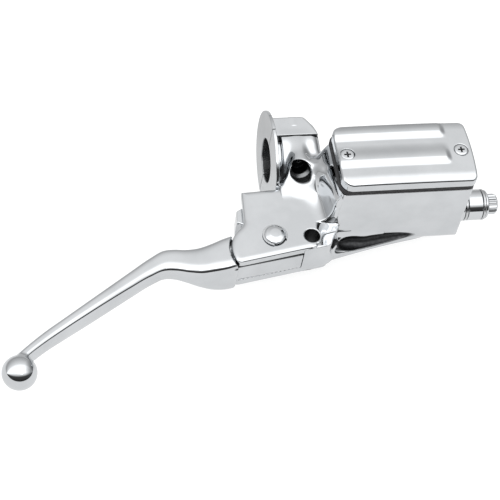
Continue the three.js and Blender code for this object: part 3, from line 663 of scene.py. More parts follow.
def solid_housing(x, y, z):
    """The casting before it is cut, with wide fillets behind and tight ones in front."""
    fade = ease((y - FILLET.fade_from) / FILLET.fade)
    behind = maximum(FILLET.above - z, FILLET.front - y)
    low = maximum(FILLET.below - z, x - FILLET.right)
    foot = rounded(foot_2d(x, y), slab(z, PLATES.bottom, -6), 2.0)
    d = plates_field(x, y, z)
    d = filleted(d, neck_field(x, y, z), FILLET.tight + FILLET.neck * fade, behind, 2.0)
    d = filleted(d, walls_field(x, y, z), FILLET.tight + FILLET.walls * fade, behind, 2.0)
    d = filleted(d, half_barrel(x, y, z), FILLET.clamp + FILLET.clamp * ease((-20 - y) / 8),
                 maximum(FILLET.above - z, 2.2 - x))
    d = filleted(d, foot, FILLET.foot, low, 2.0)
    u, v = from_bore(y, z)
    d = join(d, port_2d(x, hypot(u, v)), 2.0)
    return join(d, both(flange_field(x, y, z), y + GAP / 2, 0.5), 0.8)


# The wide mouth of the lower clamp screw's hole.
SINK = Sizes(front=-25, rear=-12, radius=5.6)
SHANK = 3.2


def housing_field(x, y, z):
    """The casting with its slot, hollows and holes."""
    slot = box_field((x, y, z), (-90, -140, PLATES.bottom + PLATES.thick),
                     (BORE.start, PLATES.rear, PLATES.top - PLATES.thick), 0.1)
    upper, lower = from_screw(x, z, 1), from_screw(x, z, -1)
    bore, front, socket = from_bore(y, z), BORE.start - 3, SINK
    return cut(
        solid_housing(x, y, z),
        (slot, 0.5),
        (bar_hole(y, z), 0.7),
        (maximum(ledge_2d(x, y), PLATES.top - PLATES.step - z), 0.9),
        (scoop_field(x, y, z), 0.8),
        (from_axis(x, y, PIVOT) - PIVOT.pin - GAP, 0.5),
        (from_axis(x, y, MIRROR) - MIRROR.radius, 0.9),
        (mouth_cutter(x, y, z), 1.0),
        (rod(*lower, y, socket.front, socket.rear, socket.radius, 0.3), 0.7),
        (rod(*upper, y, -20, 9, SHANK, 0.1), 0.3),
        (rod(*lower, y, -20, 9, SHANK, 0.1), 0.3),
        (rod(*bore, x, front, BORE.start + BORE.mouth_depth, BORE.mouth, 0.1), 0.5),
        (rod(*bore, x, front, BORE.end, BORE.radius, 0.3), 0.3),
        (rod(*bore, x, BORE.end - 5, BORE.end + 30, BORE.port, 0.1), 0.4))


def inside(distance, depth=0.25):
    """1 inside a hole and 0 clear of its edge."""
    return clip(0.5 - distance / depth, 0, 1)


# How dark the painted shade in each hollow is: 0 as the plating, 1 black.
DARK = Sizes(bar=0.52, groove=0.75, split=0.75, seam=0.9, mirror=0.9, scoop=0.95, cross=0.97, lip=0.4)
GROOVE = Sizes(middle=3.9, half=2.0, radius=26.0, above=10.9, front=-15)
SEAM = Sizes(z=5.3, half_height=0.7, front=-58)


def clamp_shade(x, y, z):
    """Painted shade: the bar hole, the groove beside the flange and the split are dark."""
    radius = hypot(y, z)
    bar = DARK.bar * inside(radius - BAR_RADIUS - 0.25)
    groove = maximum(np.abs(x - GROOVE.middle) - GROOVE.half, radius - GROOVE.radius)
    hidden = GROOVE.above - z + FAR * (y > GROOVE.front)
    groove = DARK.groove * inside(groove) * inside(hidden)
    split = DARK.split * inside(maximum(np.abs(y) - 0.35, x - CLAMP.end), 0.2)
    return maximum(maximum(bar, groove), split)


def gap_shade(x, y, z):
    """A painted shadow between the top plate and the lever's tongue."""
    seam = maximum(np.abs(z - SEAM.z) - SEAM.half_height, x - BORE.start)
    return DARK.seam * inside(seam, 0.3) * inside(y - SEAM.front)


# Painted shade in the mirror's hole, the scoop, the screw hole's mouth (lighter on its lower lip) and
# the lower screw's socket.
def housing_shade(x, y, z):
    mirror = inside(from_axis(x, y, MIRROR) - MIRROR.radius - 0.3)
    scoop = inside(scoop_field(x, y, z) - 0.25, 0.5)
    dark = maximum(DARK.mirror * mirror, DARK.scoop * scoop)
    lip = ease((MOUTH.z - 0.5 - z) / 2) * ease((2.8 + mouth_place(x, y, z)[0]) / 0.8)
    dark = maximum(dark, inside(mouth_cutter(x, y, z) - 0.3) * (1 - DARK.lip * lip))
    socket = hypot(*from_screw(x, z, -1)) - SINK.radius - 0.3
    dark = maximum(dark, inside(socket) * inside(y))
    return maximum(maximum(dark, clamp_shade(x, y, z)), gap_shade(x, y, z))


# ---- lever

TONGUE = Sizes(bottom=-7.2, top=5.0, corner_radius=7.4)
BALL = Sizes(x=-149.6, y=-128.5, z=-2.5, radius=9.3)
# Room for the plates' outboard end as the lever swings.
SWEEP = Sizes(radius=27.4, front=-70.5)
# The slot in the tongue that the pushrod swings in.
WINDOW = Sizes(half=3.1, rear=3.4, slant=radians(22))
BUSHING = 1.7
PUSHROD = Sizes(tip=23.8, aside=0.2)

# Along the blade: x, front edge, rear edge, top, bottom, squareness of the section.
BLADE = np.array([
    (-154, -131.0, -122.4, 2.6, -7.6, 0.70),
    (-147, -124.5, -116.6, 3.2, -8.2, 0.62),
    (-136, -115.8, -107.6, 3.4, -8.4, 0.62),
    (-123, -107.2, -98.5, 4.0, -9.0, 0.62),
    (-110, -99.0, -89.3, 4.4, -9.4, 0.62),
    (-98, -91.4, -80.7, 4.4, -9.4, 0.62),
    (-86, -83.9, -72.0, 4.2, -9.2, 0.62),
    (-75, -77.3, -64.1, 3.9, -8.9, 0.62),
    (-67, -73.9, -59.6, 3.9, -8.8, 0.60),
    (-61, -74.4, -59.2, 4.1, -9.0, 0.58),
    (-55, -76.4, -60.2, 4.8, -9.7, 0.55),
    (-48, -78.6, -60.6, 6.4, -11.4, 0.50),
    (-41, -79.3, -59.5, 8.4, -13.8, 0.44),
    (-34, -78.8, -57.2, 9.2, -15.2, 0.38),
    (-27, -77.2, -55.6, 9.6, -15.6, 0.34),
    (-18, -74.5, -55.0, 9.6, -15.2, 0.34),
])


def smooth_columns(table, spacing=0.2):
    """Cubic curves through each column against the first."""
    xs = table[:, 0]
    fine = np.arange(xs[0], xs[-1] + spacing, spacing)
    i = clip(np.searchsorted(xs, fine, side="right") - 1, 0, len(xs) - 2)
    width = xs[i + 1] - xs[i]
    t = (fine - xs[i]) / width
    columns = []
    for column in table[:, 1:].T:
        slope = np.gradient(column, xs)
        value = (1 + 2 * t) * (1 - t) ** 2 * column[i] + t * (1 - t) ** 2 * width * slope[i]
        value += t * t * (3 - 2 * t) * column[i + 1] + t * t * (t - 1) * width * slope[i + 1]
        columns.append(value)
    return fine, columns


blade_x, blade_columns = smooth_columns(BLADE)


def tongue_outline():
    """Plan of the tongue, round where it turns past the casting."""
    nose = BORE.start - GAP
    tail = CROSS_PIN.y - 0.6
    return Outline([
        (-31, -76.8), (-25.5, -75.7), (nose, -70.1), (nose, PIVOT.y),
        *arc(PIVOT.x, PIVOT.y, nose - PIVOT.x, 0, 62)[1:],
        *arc(CROSS_PIN.x, CROSS_PIN.y, TONGUE.corner_radius, 0, 90),
        (-23.4, tail), (-24.4, -46), (-19, -48.3), (-20, -55), (-31, -58)])


tongue_2d = tongue_outline()


def grip_field(x, y, z):
    """The blade, nearly square at the pivot and round at the tip."""
    front, rear, top, bottom, square = (np.interp(x, blade_x, column) for column in blade_columns)
    across, up = (rear - front) / 2, (top - bottom) / 2
    power = 2 / square
    u = np.abs(y - (front + rear) / 2) / across
    v = np.abs(z - (top + bottom) / 2) / up
    ring = maximum(u, v)
    ring = ring * ((u / ring) ** power + (v / ring) ** power) ** (1 / power)
    d = (ring - 1) * minimum(across, up) * 0.8
    return both(d, slab(x, -150, -18), 1.0)


def lever_field(x, y, z):
    ball = np.sqrt((x - BALL.x) ** 2 + (y - BALL.y) ** 2 + (z - BALL.z) ** 2) - BALL.radius
    turning = from_axis(x, y, PIVOT)
    grip = less(grip_field(x, y, z), bracket_2d(x, y) - 0.9, 1.2)
    grip = less(grip, maximum(turning - SWEEP.radius, y - SWEEP.front), 0.9)
    grip = join(grip, ball, 1.6)
    tongue = rounded(tongue_2d(x, y), slab(z, TONGUE.bottom, TONGUE.top), 0.5)
    d = join(grip, tongue, 0.6)
    d = less(d, turning - PIVOT.pin - 2 * GAP - BUSHING, 0.4)
    d = less(d, from_axis(x, y, CROSS_PIN) - CROSS_PIN.radius - GAP, 0.4)
    ahead, beside = x - CROSS_PIN.x, y - CROSS_PIN.y
    window = maximum(slab(z, BORE.z - WINDOW.half, BORE.z + WINDOW.half), -ahead)
    window = maximum(window, -WINDOW.half - beside)
    slanted = (beside - WINDOW.rear - tan(WINDOW.slant) * ahead) * cos(WINDOW.slant)
    return less(d, maximum(window, slanted), 0.4)


# ---- cover and gasket

COVER_PLAN = Sizes(corner=6.5, tight_corner=3.5, bow=1.2)
HOLLOW_LID = Sizes(x=11, y=5, depth=3.5)
CROWN = Sizes(along=0.4, half_x=37, across=0.3, half_y=20)
RIBS = Sizes(crests=(-20.2, -38.4), height=1.4, rear=10.5, front=5.4, end=92.4, fade=4.5)
EDGE_FALL = Sizes(front=-47.6, rear=-19.5, reach=7.0, drop=1.2)
COVER_SCREW = Sizes(seat=45.1, sink=4.0, hole=2.4, arm=1.8, half=0.4)


def cover_top(x, y):
    """A crowned lid that falls away at its edges, with ribs gentle behind and steep in front."""
    height = COVER.top - CROWN.along * ((x - COVER.x) / CROWN.half_x) ** 2
    height -= CROWN.across * ((y - COVER.y) / CROWN.half_y) ** 2
    for edge in (EDGE_FALL.front - y, y - EDGE_FALL.rear):
        height -= EDGE_FALL.drop * (maximum(edge, 0) / EDGE_FALL.reach) ** 2
    along = ease((RIBS.end - x) / RIBS.fade)
    for crest in RIBS.crests:
        reach = np.where(y > crest, RIBS.rear, RIBS.front)
        height += RIBS.height * bell(np.abs(y - crest) / reach) * along
    return height


def cover_outline(x, y, inset=0.0):
    """Plan of the lid, whose inboard end is bowed and has tighter corners."""
    half_x, half_y = COVER.length / 2 - inset, COVER.width / 2 - inset
    right, front, rear = COVER.x + half_x, COVER.y - half_y, COVER.y + half_y
    bow = COVER_PLAN.bow * (1 - ((y - COVER.y) / half_y) ** 2)
    body = panel(x, y, COVER.x - half_x, right, front, rear, COVER_PLAN.corner - inset)
    end = panel(x - bow, y, COVER.x, right, front, rear, COVER_PLAN.tight_corner)
    return minimum(body, end)


def cover_field(x, y, z):
    d = both(cover_outline(x, y), (z - cover_top(x, y)) * 0.85, 1.6)
    d = both(d, COVER.bottom - z, 0.8)
    half_x, half_y = COVER.length / 2 - HOLLOW_LID.x, COVER.width / 2 - HOLLOW_LID.y
    hollow = panel(x, y, COVER.x - half_x, COVER.x + half_x, COVER.y - half_y, COVER.y + half_y, 4)
    d = less(d, maximum(hollow, z - COVER.bottom - HOLLOW_LID.depth), 0.5)
    for place in COVER_SCREWS:
        radius = hypot(x - place, y - COVER.y)
        d = less(d, maximum(radius - COVER_SCREW.sink, COVER_SCREW.seat - z), 0.35)
        d = less(d, radius - COVER_SCREW.hole, 0.3)
    return d


CUP = Sizes(outside=(39.4, 92.6, -49.6, -19.4), depth=6.8, hollow=(41, 91, -48, -21),
            hollow_depth=5.2, pleat=0.5, pitch=3)


def gasket_field(x, y, z):
    """A soft beaded rim, and the bellows cup that hangs in the reservoir."""
    spread = 1.1 * ease((COVER.x - x) / 30)
    low, high = WALLS.top + GAP, COVER.bottom - GAP
    waist = 0.4 * bell(np.abs(z - (low + high) / 2) / 0.5)
    d = rounded(cover_outline(x + spread, y, GAP) + waist, slab(z, low, high), 0.7)
    pleats = CUP.pleat * np.cos((z - low) * 2 * pi / CUP.pitch)
    pleats = pleats * ease((low - 0.3 - z) / 1.0)
    cup = panel(x, y, *CUP.outside, 4) + CUP.pleat + pleats
    d = join(d, rounded(cup, slab(z, low - CUP.depth, high), 0.5), 0.8)
    hollow = panel(x, y, *CUP.hollow, 3) + CUP.pleat + pleats
    d = less(d, maximum(hollow, low - CUP.hollow_depth - z), 0.6)
    for place in COVER_SCREWS:
        d = less(d, hypot(x - place, y - COVER.y) - COVER_SCREW.hole, 0.3)
    return d


def cross_slot(u, v, z):
    """A cross recess that gets shallower outwards."""
    depth = hypot(u, v) * 0.5 + COVER_SCREW.seat + 0.1 - z
    arms = [maximum(np.abs(a) - COVER_SCREW.arm, np.abs(b) - COVER_SCREW.half)
            for a, b in ((u, v), (v, u))]
    return maximum(minimum(*arms), depth)


def cover_screw_field(place):
    foot, seat = WALLS.top - 10, COVER_SCREW.seat + 0.05
    head = revolved([(foot, 0), (foot, 1.9), (seat, 1.9), (seat, 3.7), (seat + 0.75, 3.7),
                     (seat + 1.0, 2.9), (seat + 1.1, 1.6), (seat + 1.13, 0)], 0.25, spacing=0.08)

    def field(x, y, z):
        u, v = x - place, y - COVER.y
        return less(head(z, hypot(u, v)), cross_slot(u, v, z), 0.2)

    return field


# Painted shade in the screw head's cross recess.
def cross_shade(place):
    return lambda x, y, z: DARK.cross * inside(cross_slot(x - place, y - COVER.y, z) - 0.12, 0.15)


# ---- small pieces

# Cosines of 30 and of 45 degrees.
HEXAGON, DIAGONAL = 0.8660254, 0.70711
SOCKET = Sizes(radius=2.45, depth=2.4)


def clamp_screw_field(side):
    """A socket screw with a round head, seen from the rear."""
    seat = SCREW.seat + 2 * GAP + SCREW.washer
    top = seat + 4.0
    shape = revolved([(-10, 0), (-10, 2.3), (-9.2, 2.9), (seat, 2.9), (seat, 4.3), (top - 0.4, 4.3),
                      (top, 3.9), (top, 0)], 0.3, spacing=0.1)

    def field(x, y, z):
        u, v = from_screw(x, z, side)
        flats = np.abs(u) * HEXAGON + np.abs(v) * 0.5
        hexagon = maximum(flats, np.abs(v)) - SOCKET.radius * HEXAGON
        socket = maximum(hexagon, top - SOCKET.depth - y)
        return less(shape(y, hypot(u, v)), socket, 0.25)

    return field


CLIP = Sizes(outer=6.9, inner=4.7, thick=0.7, lift=0.35, half_gap=3.9, turn=radians(25))


def clip_field(x, y, z):
    low = PLATES.top + CLIP.lift
    u, v = x - PIVOT.x, y - PIVOT.y
    radius = hypot(u, v)
    ring = maximum(radius - CLIP.outer, CLIP.inner - radius)
    ring = rounded(ring, slab(z, low, low + CLIP.thick), 0.2)
    across = u * cos(CLIP.turn) + v * sin(CLIP.turn)
    ahead = -u * sin(CLIP.turn) + v * cos(CLIP.turn)
    return less(ring, maximum(np.abs(across) - CLIP.half_gap, ahead), 0.3)


def cross_pin_field(x, y, z):
    """The cross pin, with the hole its pushrod sits in."""
    pin = CROSS_PIN
    d = rod(x - pin.x, y - pin.y, z, TONGUE.bottom + 0.2, TONGUE.top - 0.2, pin.radius, 0.4)
    hole = rod(y - BORE.y + PUSHROD.aside, z - BORE.z, x, pin.x - 1.5, pin.x + 10, 2.4, 0.1)
    return less(d, hole, 0.3)


HOSE = Sizes(washer=108.6, spacer=110.4, outer=119.1, collar=120.9)
TWELVE_POINT = Sizes(radius=5.9, notch=0.75, length=7.7, chamfer=4.9, hole=2.6, hole_depth=2.5)


def hose_bolt_field():
    """A hollow bolt with a collar and a twelve-point head."""
    collar, points = HOSE.collar, TWELVE_POINT
    shank = revolved([(97, 0), (97, 4.0), (98, 4.8), (collar, 4.8), (collar, 8.2), (collar + 1, 8.2),
                      (collar + 1.8, 7.2), (collar + 1.8, 0)], 0.3, spacing=0.1)
    end = collar + points.length

    def field(x, y, z):
        u, v = from_bore(y, z)
        radius, angle = hypot(u, v), np.arctan2(v, u)
        twelfth = pi / 6
        off = np.abs((angle + twelfth / 2) % twelfth - twelfth / 2)
        star = radius - points.radius + points.notch * ease(off / (twelfth / 2))
        head = rounded(star * 0.9, slab(x, collar + 1, end), 0.35)
        head = both(head, (radius + x - end - points.chamfer) * DIAGONAL, 0.4)
        d = join(shank(x, radius), head, 0.5)
        return less(d, rod(u, v, x, end - points.hole_depth, end + 5, points.hole, 0.3), 0.5)

    return field


# ---- turned pieces

AXES = {
    "x": lambda along, u, v: (along, u, v),
    "y": lambda along, u, v: (u, along, v),
    "z": lambda along, u, v: (u, v, along),
}


def turned(name, axis, at, profile, ring, corner, sides=96):
    """A lathe piece from (along, radius) pairs, with exact normals."""
    pts = np.array(soft_corners(profile, corner, closed=ring, steps=4))
    keep = np.ones(len(pts), bool)
    keep[1:] = np.linalg.norm(np.diff(pts, axis=0), axis=1) > 1e-5
    pts = pts[keep]
    after = np.roll(pts, -1, axis=0) - pts
    before = pts - np.roll(pts, 1, axis=0)
    if not ring:
        after[-1], before[0] = before[-1], after[0]
    tangent = before + after
    area = np.sum(pts[:, 0] * np.roll(pts[:, 1], -1) - np.roll(pts[:, 0], -1) * pts[:, 1])
    normal = np.stack([tangent[:, 1], -tangent[:, 0]], 1) * np.sign(area)
    normal /= np.linalg.norm(normal, axis=1)[:, None]
    angles = np.arange(sides) * 2 * pi / sides
    place = AXES[axis]
    points, normals, rows = [], [], []
    for (along, radius), (n_along, n_radius) in zip(pts, normal):
        turns = angles if radius > 1e-6 else angles[:1]
        rows.append((len(points), len(turns)))
        for a in turns:
            points.append(place(along, radius * cos(a), radius * sin(a)))
            n = (n_along, n_radius * cos(a), n_radius * sin(a))
            normals.append(place(*n) if len(turns) > 1 else place(np.sign(n_along), 0, 0))
    faces = []
    count = len(rows)
    for i in range(count if ring else count - 1):
        (a, na), (b, nb) = rows[i], rows[(i + 1) % count]
        for j in range(sides):
            k = (j + 1) % sides
            corners = [a + j % na, a + k % na, b + k % nb, b + j % nb]
            faces.append(list(dict.fromkeys(corners)))
    mesh = bpy.data.meshes.new(name)
    mesh.from_pydata((np.array(points, float) + np.array(at, float)) * MM, [], faces)
    bm = bmesh.new()
    bm.from_mesh(mesh)
    bmesh.ops.recalc_face_normals(bm, faces=bm.faces)
    bm.to_mesh(mesh)
    bm.free()
    mesh.shade_smooth()
    mesh.normals_split_custom_set_from_vertices(np.array(normals, np.float32))
    return linked(name, mesh)


def coiled(name, start, end, radius, wire, turns, sides=12, steps_per_turn=36):
    """A spring along the bore: a round wire, closed at both ends."""
    steps = turns * steps_per_turn
    t = np.linspace(0, 1, steps + 1)[:, None]
    turn = 2 * pi * turns * t
    zero = np.zeros_like(t)
    outward = np.hstack([zero, np.cos(turn), np.sin(turn)])
    spine = np.hstack([start + (end - start) * t, zero, zero]) + radius * outward
    across = unit(np.cross(np.gradient(spine, axis=0), outward))
    points = []
    for i in range(sides):
        angle = 2 * pi * i / sides
        points.append(spine + wire * (cos(angle) * outward + sin(angle) * across))
    points = np.stack(points, axis=1).reshape(-1, 3) + (0, BORE.y, BORE.z)
    faces = [tuple(range(sides)), tuple(range(len(points) - 1, len(points) - 1 - sides, -1))]
    for ring in range(steps):
        for i in range(sides):
            a, b = ring * sides + i, ring * sides + (i + 1) % sides
            faces.append((b, a, a + sides, b + sides))
    mesh = bpy.data.meshes.new(name)
    mesh.from_pydata(points * MM, [], faces)
    mesh.shade_smooth()
    return linked(name, mesh)


# ---- materials


def feed(tree, socket, value):
    """Links an output to a socket, or sets it to a plain value."""
    if isinstance(value, bpy.types.NodeSocket):
        tree.links.new(value, socket)
    else:
        socket.default_value = value


def feed_all(tree, made, **sockets):
    """Feeds sockets by name, with _ for each space."""
    for key, value in sockets.items():
        feed(tree, made.inputs[key.replace("_", " ")], value)


def node(tree, kind, settings=None, **sockets):
    made = tree.nodes.new(kind)
    for key, value in (settings or {}).items():
        setattr(made, key, value)
    feed_all(tree, made, **sockets)
    return made


def noise(tree, scale, detail=2.0, stretch=None):
    """A noise texture in object coordinates; scale is in features per metre."""
    place = node(tree, "ShaderNodeTexCoord").outputs["Object"]
    if stretch:
        place = node(tree, "ShaderNodeMapping", Scale=stretch, Vector=place).outputs["Vector"]
    return node(tree, "ShaderNodeTexNoise", Scale=scale, Detail=detail, Vector=place).outputs["Fac"]


def ranged(tree, value, low, high, to_low, to_high):
    made = node(tree, "ShaderNodeMapRange", Value=value, From_Min=low, From_Max=high,
                To_Min=to_low, To_Max=to_high)
    return made.outputs["Result"]


def math_node(tree, operation, a, b):
    made = node(tree, "ShaderNodeMath", {"operation": operation})
    feed(tree, made.inputs[0], a)
    feed(tree, made.inputs[1], b)
    return made.outputs[0]


def times(tree, a, b):
    return math_node(tree, "MULTIPLY", a, b)


def mixed(tree, factor, a, b):
    """Colour a where factor is 0 and b where it is 1."""
    made = node(tree, "ShaderNodeMix", {"data_type": "RGBA"}, Factor=factor)
    for socket, value in ((made.inputs[6], a), (made.inputs[7], b)):
        feed(tree, socket, (*value, 1) if isinstance(value, tuple) else value)
    return made.outputs[2]


def bump(tree, height, strength, distance, below=None):
    made = node(tree, "ShaderNodeBump", Strength=strength, Distance=distance, Height=height)
    if below is not None:
        feed_all(tree, made, Normal=below)
    return made.outputs["Normal"]


def mark(tree, name):
    """One of the marks stored on a mesh by shade_corners."""
    return node(tree, "ShaderNodeAttribute", {"attribute_name": name}).outputs["Fac"]


def new_material(name):
    material = bpy.data.materials.new(name)
    material.use_nodes = True
    return material, material.node_tree, material.node_tree.nodes["Principled BSDF"]


# The colours of grime with painted shade in corners, and of the painted shade in unlit holes.
GRIME_AND_SHADE = (0.09, 0.085, 0.08)
HOLLOW = (0.006, 0.006, 0.007)


def metal(name, light, dark, smooth, rough, grain, wave=0.0, edge=None):
    """Metal with clouds, hairlines, grain, edge wear, grime with painted shade in its corners, and
    painted shade in hollows.
    """
    material, tree, shader = new_material(name)
    clouds = ranged(tree, noise(tree, 55, 4), 0.35, 0.65, 0, 1)
    hairs = ranged(tree, noise(tree, 1.0, 3, (60, 2600, 2600)), 0.6, 0.7, 0, 1)
    specks = ranged(tree, noise(tree, 1900, 2), 0.66, 0.74, 0, 1)
    # Grime with painted shade in corners, and painted shade in hollows, darken the colour.
    patchy_grime_and_shade = times(tree, mark(tree, "grime_and_shade"), ranged(tree, noise(tree, 260, 3), 0.4, 0.62, 0.25, 1))
    rubbed = times(tree, mark(tree, "wear"), ranged(tree, noise(tree, 420, 3), 0.42, 0.6, 0, 1))
    hollow_shade = mark(tree, "hollow_shade")
    hollow_shade_amount = times(tree, hollow_shade, ranged(tree, noise(tree, 700, 4), 0.3, 0.7, 1.0, 0.95))
    colour = mixed(tree, clouds, light, dark)
    colour = mixed(tree, times(tree, rubbed, 0.5), colour, edge or light)
    colour = mixed(tree, times(tree, patchy_grime_and_shade, 0.45), colour, GRIME_AND_SHADE)
    colour = mixed(tree, hollow_shade_amount, colour, HOLLOW)
    roughness = ranged(tree, clouds, 0, 1, smooth, rough)
    for part, share in ((hairs, 0.05), (specks, 0.04), (rubbed, 0.10), (patchy_grime_and_shade, 0.22), (hollow_shade, 0.4)):
        roughness = math_node(tree, "ADD", roughness, times(tree, part, share))
    normal = bump(tree, noise(tree, 2400, 2), grain, 0.00004)
    if wave:
        normal = bump(tree, noise(tree, 70, 1), wave, 0.0004, normal)
    feed_all(tree, shader, Metallic=1.0, Base_Color=colour, Roughness=roughness, Normal=normal)
    return material


def rubber_material(name):
    material, tree, shader = new_material(name)
    tone = ranged(tree, noise(tree, 140, 4), 0.35, 0.65, 0, 1)
    dust = ranged(tree, noise(tree, 900, 3), 0.6, 0.72, 0, 1)
    colour = mixed(tree, tone, (0.011, 0.011, 0.012), (0.024, 0.024, 0.026))
    colour = mixed(tree, times(tree, dust, 0.25), colour, (0.11, 0.11, 0.11))
    feed_all(tree, shader, Base_Color=colour, Roughness=ranged(tree, tone, 0, 1, 0.45, 0.7),
             Normal=bump(tree, noise(tree, 1700, 3), 0.35, 0.00006))
    return material


MATERIALS = {
    "chrome": metal("polished_chrome", (0.60, 0.615, 0.63), (0.55, 0.565, 0.58), 0.035, 0.075,
                    0.03, 0.05),
    "zinc_plate": metal("zinc_plated_steel", (0.56, 0.57, 0.58), (0.44, 0.45, 0.46), 0.22, 0.36,
                        0.25),
    "dark_steel": metal("phosphated_spring_steel", (0.16, 0.16, 0.17), (0.10, 0.10, 0.105), 0.30,
                        0.45, 0.3, edge=(0.42, 0.42, 0.43)),
    "bronze": metal("plain_bronze", (0.55, 0.33, 0.14), (0.40, 0.23, 0.10), 0.26, 0.42, 0.3),
    "anodised": metal("hard_anodised", (0.34, 0.35, 0.36), (0.26, 0.27, 0.28), 0.32, 0.44, 0.2),
    "rubber": rubber_material("black_rubber"),
}

# ---- pieces


def cover_with(piece, slot):
    piece.data.materials.clear()
    piece.data.materials.append(MATERIALS[slot])


def finish_piece(piece, node_name, slot="chrome", body="housing"):
    cover_with(piece, slot)
    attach(piece, body)
    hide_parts(node_name)


def field_piece(name, node_name, field, cell, keep=0.4, hollow_shade=None, **finish):
    low, high = (np.array(corner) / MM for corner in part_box(node_name))
    finish_piece(sculpted(name, field, low - 1.5, high + 1.5, cell, keep, hollow_shade), node_name, **finish)


def lathe_piece(name, node_name, axis, at, profile, ring=False, corner=0.15, **finish):
    finish_piece(turned(name, axis, at, profile, ring, corner), node_name, **finish)


# The painted shadow of the gap, on the lever near the plates.
def lever_shade(x, y, z):
    return gap_shade(x, y, z) * inside(-30 - x)


field_piece("housing_casting", "housing", housing_field, 0.42, 0.35, housing_shade)
field_piece("clamp_cap_casting", "clamp_cap", cap_field, 0.4, hollow_shade=clamp_shade)
field_piece("ribbed_cover", "reservoir_cover", cover_field, 0.4)
field_piece("bellows_gasket", "cover_gasket", gasket_field, 0.45, slot="rubber")
field_piece("ball_end_lever", "brake_lever", lever_field, 0.45, hollow_shade=lever_shade, body="lever")
field_piece("pivot_clip", "pivot_retaining_ring", clip_field, 0.15, slot="zinc_plate")
field_piece("cross_pin", "reaction_pin", cross_pin_field, 0.25, slot="zinc_plate", body="pushrod")
field_piece("hollow_bolt", "hose_bolt", hose_bolt_field(), 0.22)
for place, side in (("upper", 1), ("lower", -1)):
    field_piece(f"socket_screw_{place}", f"clamp_screw_{place}", clamp_screw_field(side), 0.2)
    low, high = SCREW.seat + GAP, SCREW.seat + GAP + SCREW.washer
    lathe_piece(f"thin_washer_{place}", f"clamp_washer_{place}", "y", (SCREW.x, 0, side * SCREW.z),
                [(low, 3.2), (low, 4.4), (high, 4.4), (high, 3.2)], ring=True)
for place, x in zip(("outboard", "inboard"), COVER_SCREWS):
    field_piece(f"cross_screw_{place}", f"cover_screw_{place}", cover_screw_field(x), 0.14,
                hollow_shade=cross_shade(x))

bore_line = (0, BORE.y, BORE.z)
pivot_line = (PIVOT.x, PIVOT.y, 0)

pin, top, low = PIVOT.pin, PLATES.top, PLATES.bottom - GAP
lathe_piece("domed_pivot_pin", "pivot_pin", "z", pivot_line, [
    (low - 1.6, 0), (low - 1.6, 6.6), (low - 1.2, 7), (low, 7), (low, pin), (top + 0.25, pin),
    (top + 0.25, pin - 1.1), (top + 1.15, pin - 1.1), (top + 1.15, pin + 0.35),
    (top + 1.7, pin + 0.3), (top + 2.3, pin - 0.6), (top + 2.9, pin - 2.6), (top + 3.1, 0),
], corner=0.35)

inner, outer = pin + GAP, pin + GAP + BUSHING
lathe_piece("bronze_bushing", "lever_bushing", "z", pivot_line, [
    (TONGUE.bottom, inner), (TONGUE.bottom, outer), (TONGUE.top, outer), (TONGUE.top, inner),
], ring=True, corner=0.3, slot="bronze", body="lever")

start, tip = CROSS_PIN.x - 1.2, PUSHROD.tip
lathe_piece("round_ended_pushrod", "pushrod", "x", (0, BORE.y - PUSHROD.aside, BORE.z), [
    (start, 0), (start, 2.1), (tip - 3.2, 2.1), (tip - 2.6, 2.9), (tip - 1, 2.6), (tip - 0.2, 1.4),
    (tip, 0),
], corner=0.4, slot="zinc_plate", body="pushrod")

start, end = BORE.start, BORE.start + BORE.mouth_depth - GAP
lathe_piece("folded_piston_boot", "piston_boot", "x", bore_line, [
    (start + 0.2, 3), (start + 0.2, 5), (start + 2, 6.4), (start + 0.4, 8.4), (start + 0.4, 10.3),
    (end, 10.3), (end, 8), (start + 3.4, 6.4), (start + 1.6, 4), (start + 1.6, 3),
], ring=True, corner=0.8, slot="rubber")

for place, x in (("inner", HOSE.washer), ("outer", HOSE.outer)):
    profile = [(x, 5.1), (x, 8.8), (x + 1.5, 8.8), (x + 1.5, 5.1)]
    lathe_piece(f"sealing_washer_{place}", f"hose_washer_{place}", "x", bore_line, profile,
                ring=True, corner=0.4, slot="zinc_plate")

x = HOSE.spacer
lathe_piece("plated_spacer", "hose_spacer", "x", bore_line, [
    (x, 5.1), (x, 8.5), (x + 0.3, 8.8), (x + 8.1, 8.8), (x + 8.4, 8.5), (x + 8.4, 5.1)], ring=True)

# These solids are shown as they are.
for name, slot in (("piston_stop_ring", "dark_steel"), ("piston_stop_washer", "zinc_plate"),
                   ("piston", "anodised"), ("piston_seal", "rubber"), ("primary_cup", "rubber")):
    cover_with(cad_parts[name], slot)

# The real spring shortens from its outboard end as the piston goes in; here it is drawn at one fixed
# length.
spring = coiled("coil_spring", SPRING.start + SPRING.wire, SPRING.end - SPRING.wire,
                SPRING.radius, SPRING.wire, SPRING.turns)
finish_piece(spring, "return_spring", "zinc_plate")
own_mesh(spring)

# ---- floor, light and camera

FLOOR = Sizes(z=-0.0305, half=8.0)
WHITE = (1.0, 1.0, 1.0)
DOME_END = (0.10, 0.105, 0.11)
# Brightness of the dome from the horizon behind the part, over the top, to the one in front.
SKY = [(0.0, 0.42), (0.04, 0.58), (0.14, 0.72), (0.24, 0.95), (0.34, 1.22), (0.40, 1.8), (0.68, 1.9),
       (0.76, 0.9), (0.82, 0.08), (0.985, 0.03), (1.0, 0.3)]
CAMERA = Sizes(azimuth=radians(-18.541), elevation=radians(54.0), roll=radians(12.051),
               distance=0.972334, right=-0.009064, up=-0.051226, lens=122.4, sensor=36.0,
               clip_start=0.01)


def split(tree, vector):
    return node(tree, "ShaderNodeSeparateXYZ", Vector=vector).outputs


def for_camera(tree, others, camera):
    """One colour for the camera and another for the light that falls on the part."""
    seen = node(tree, "ShaderNodeLightPath").outputs["Is Camera Ray"]
    return mixed(tree, seen, others, camera)


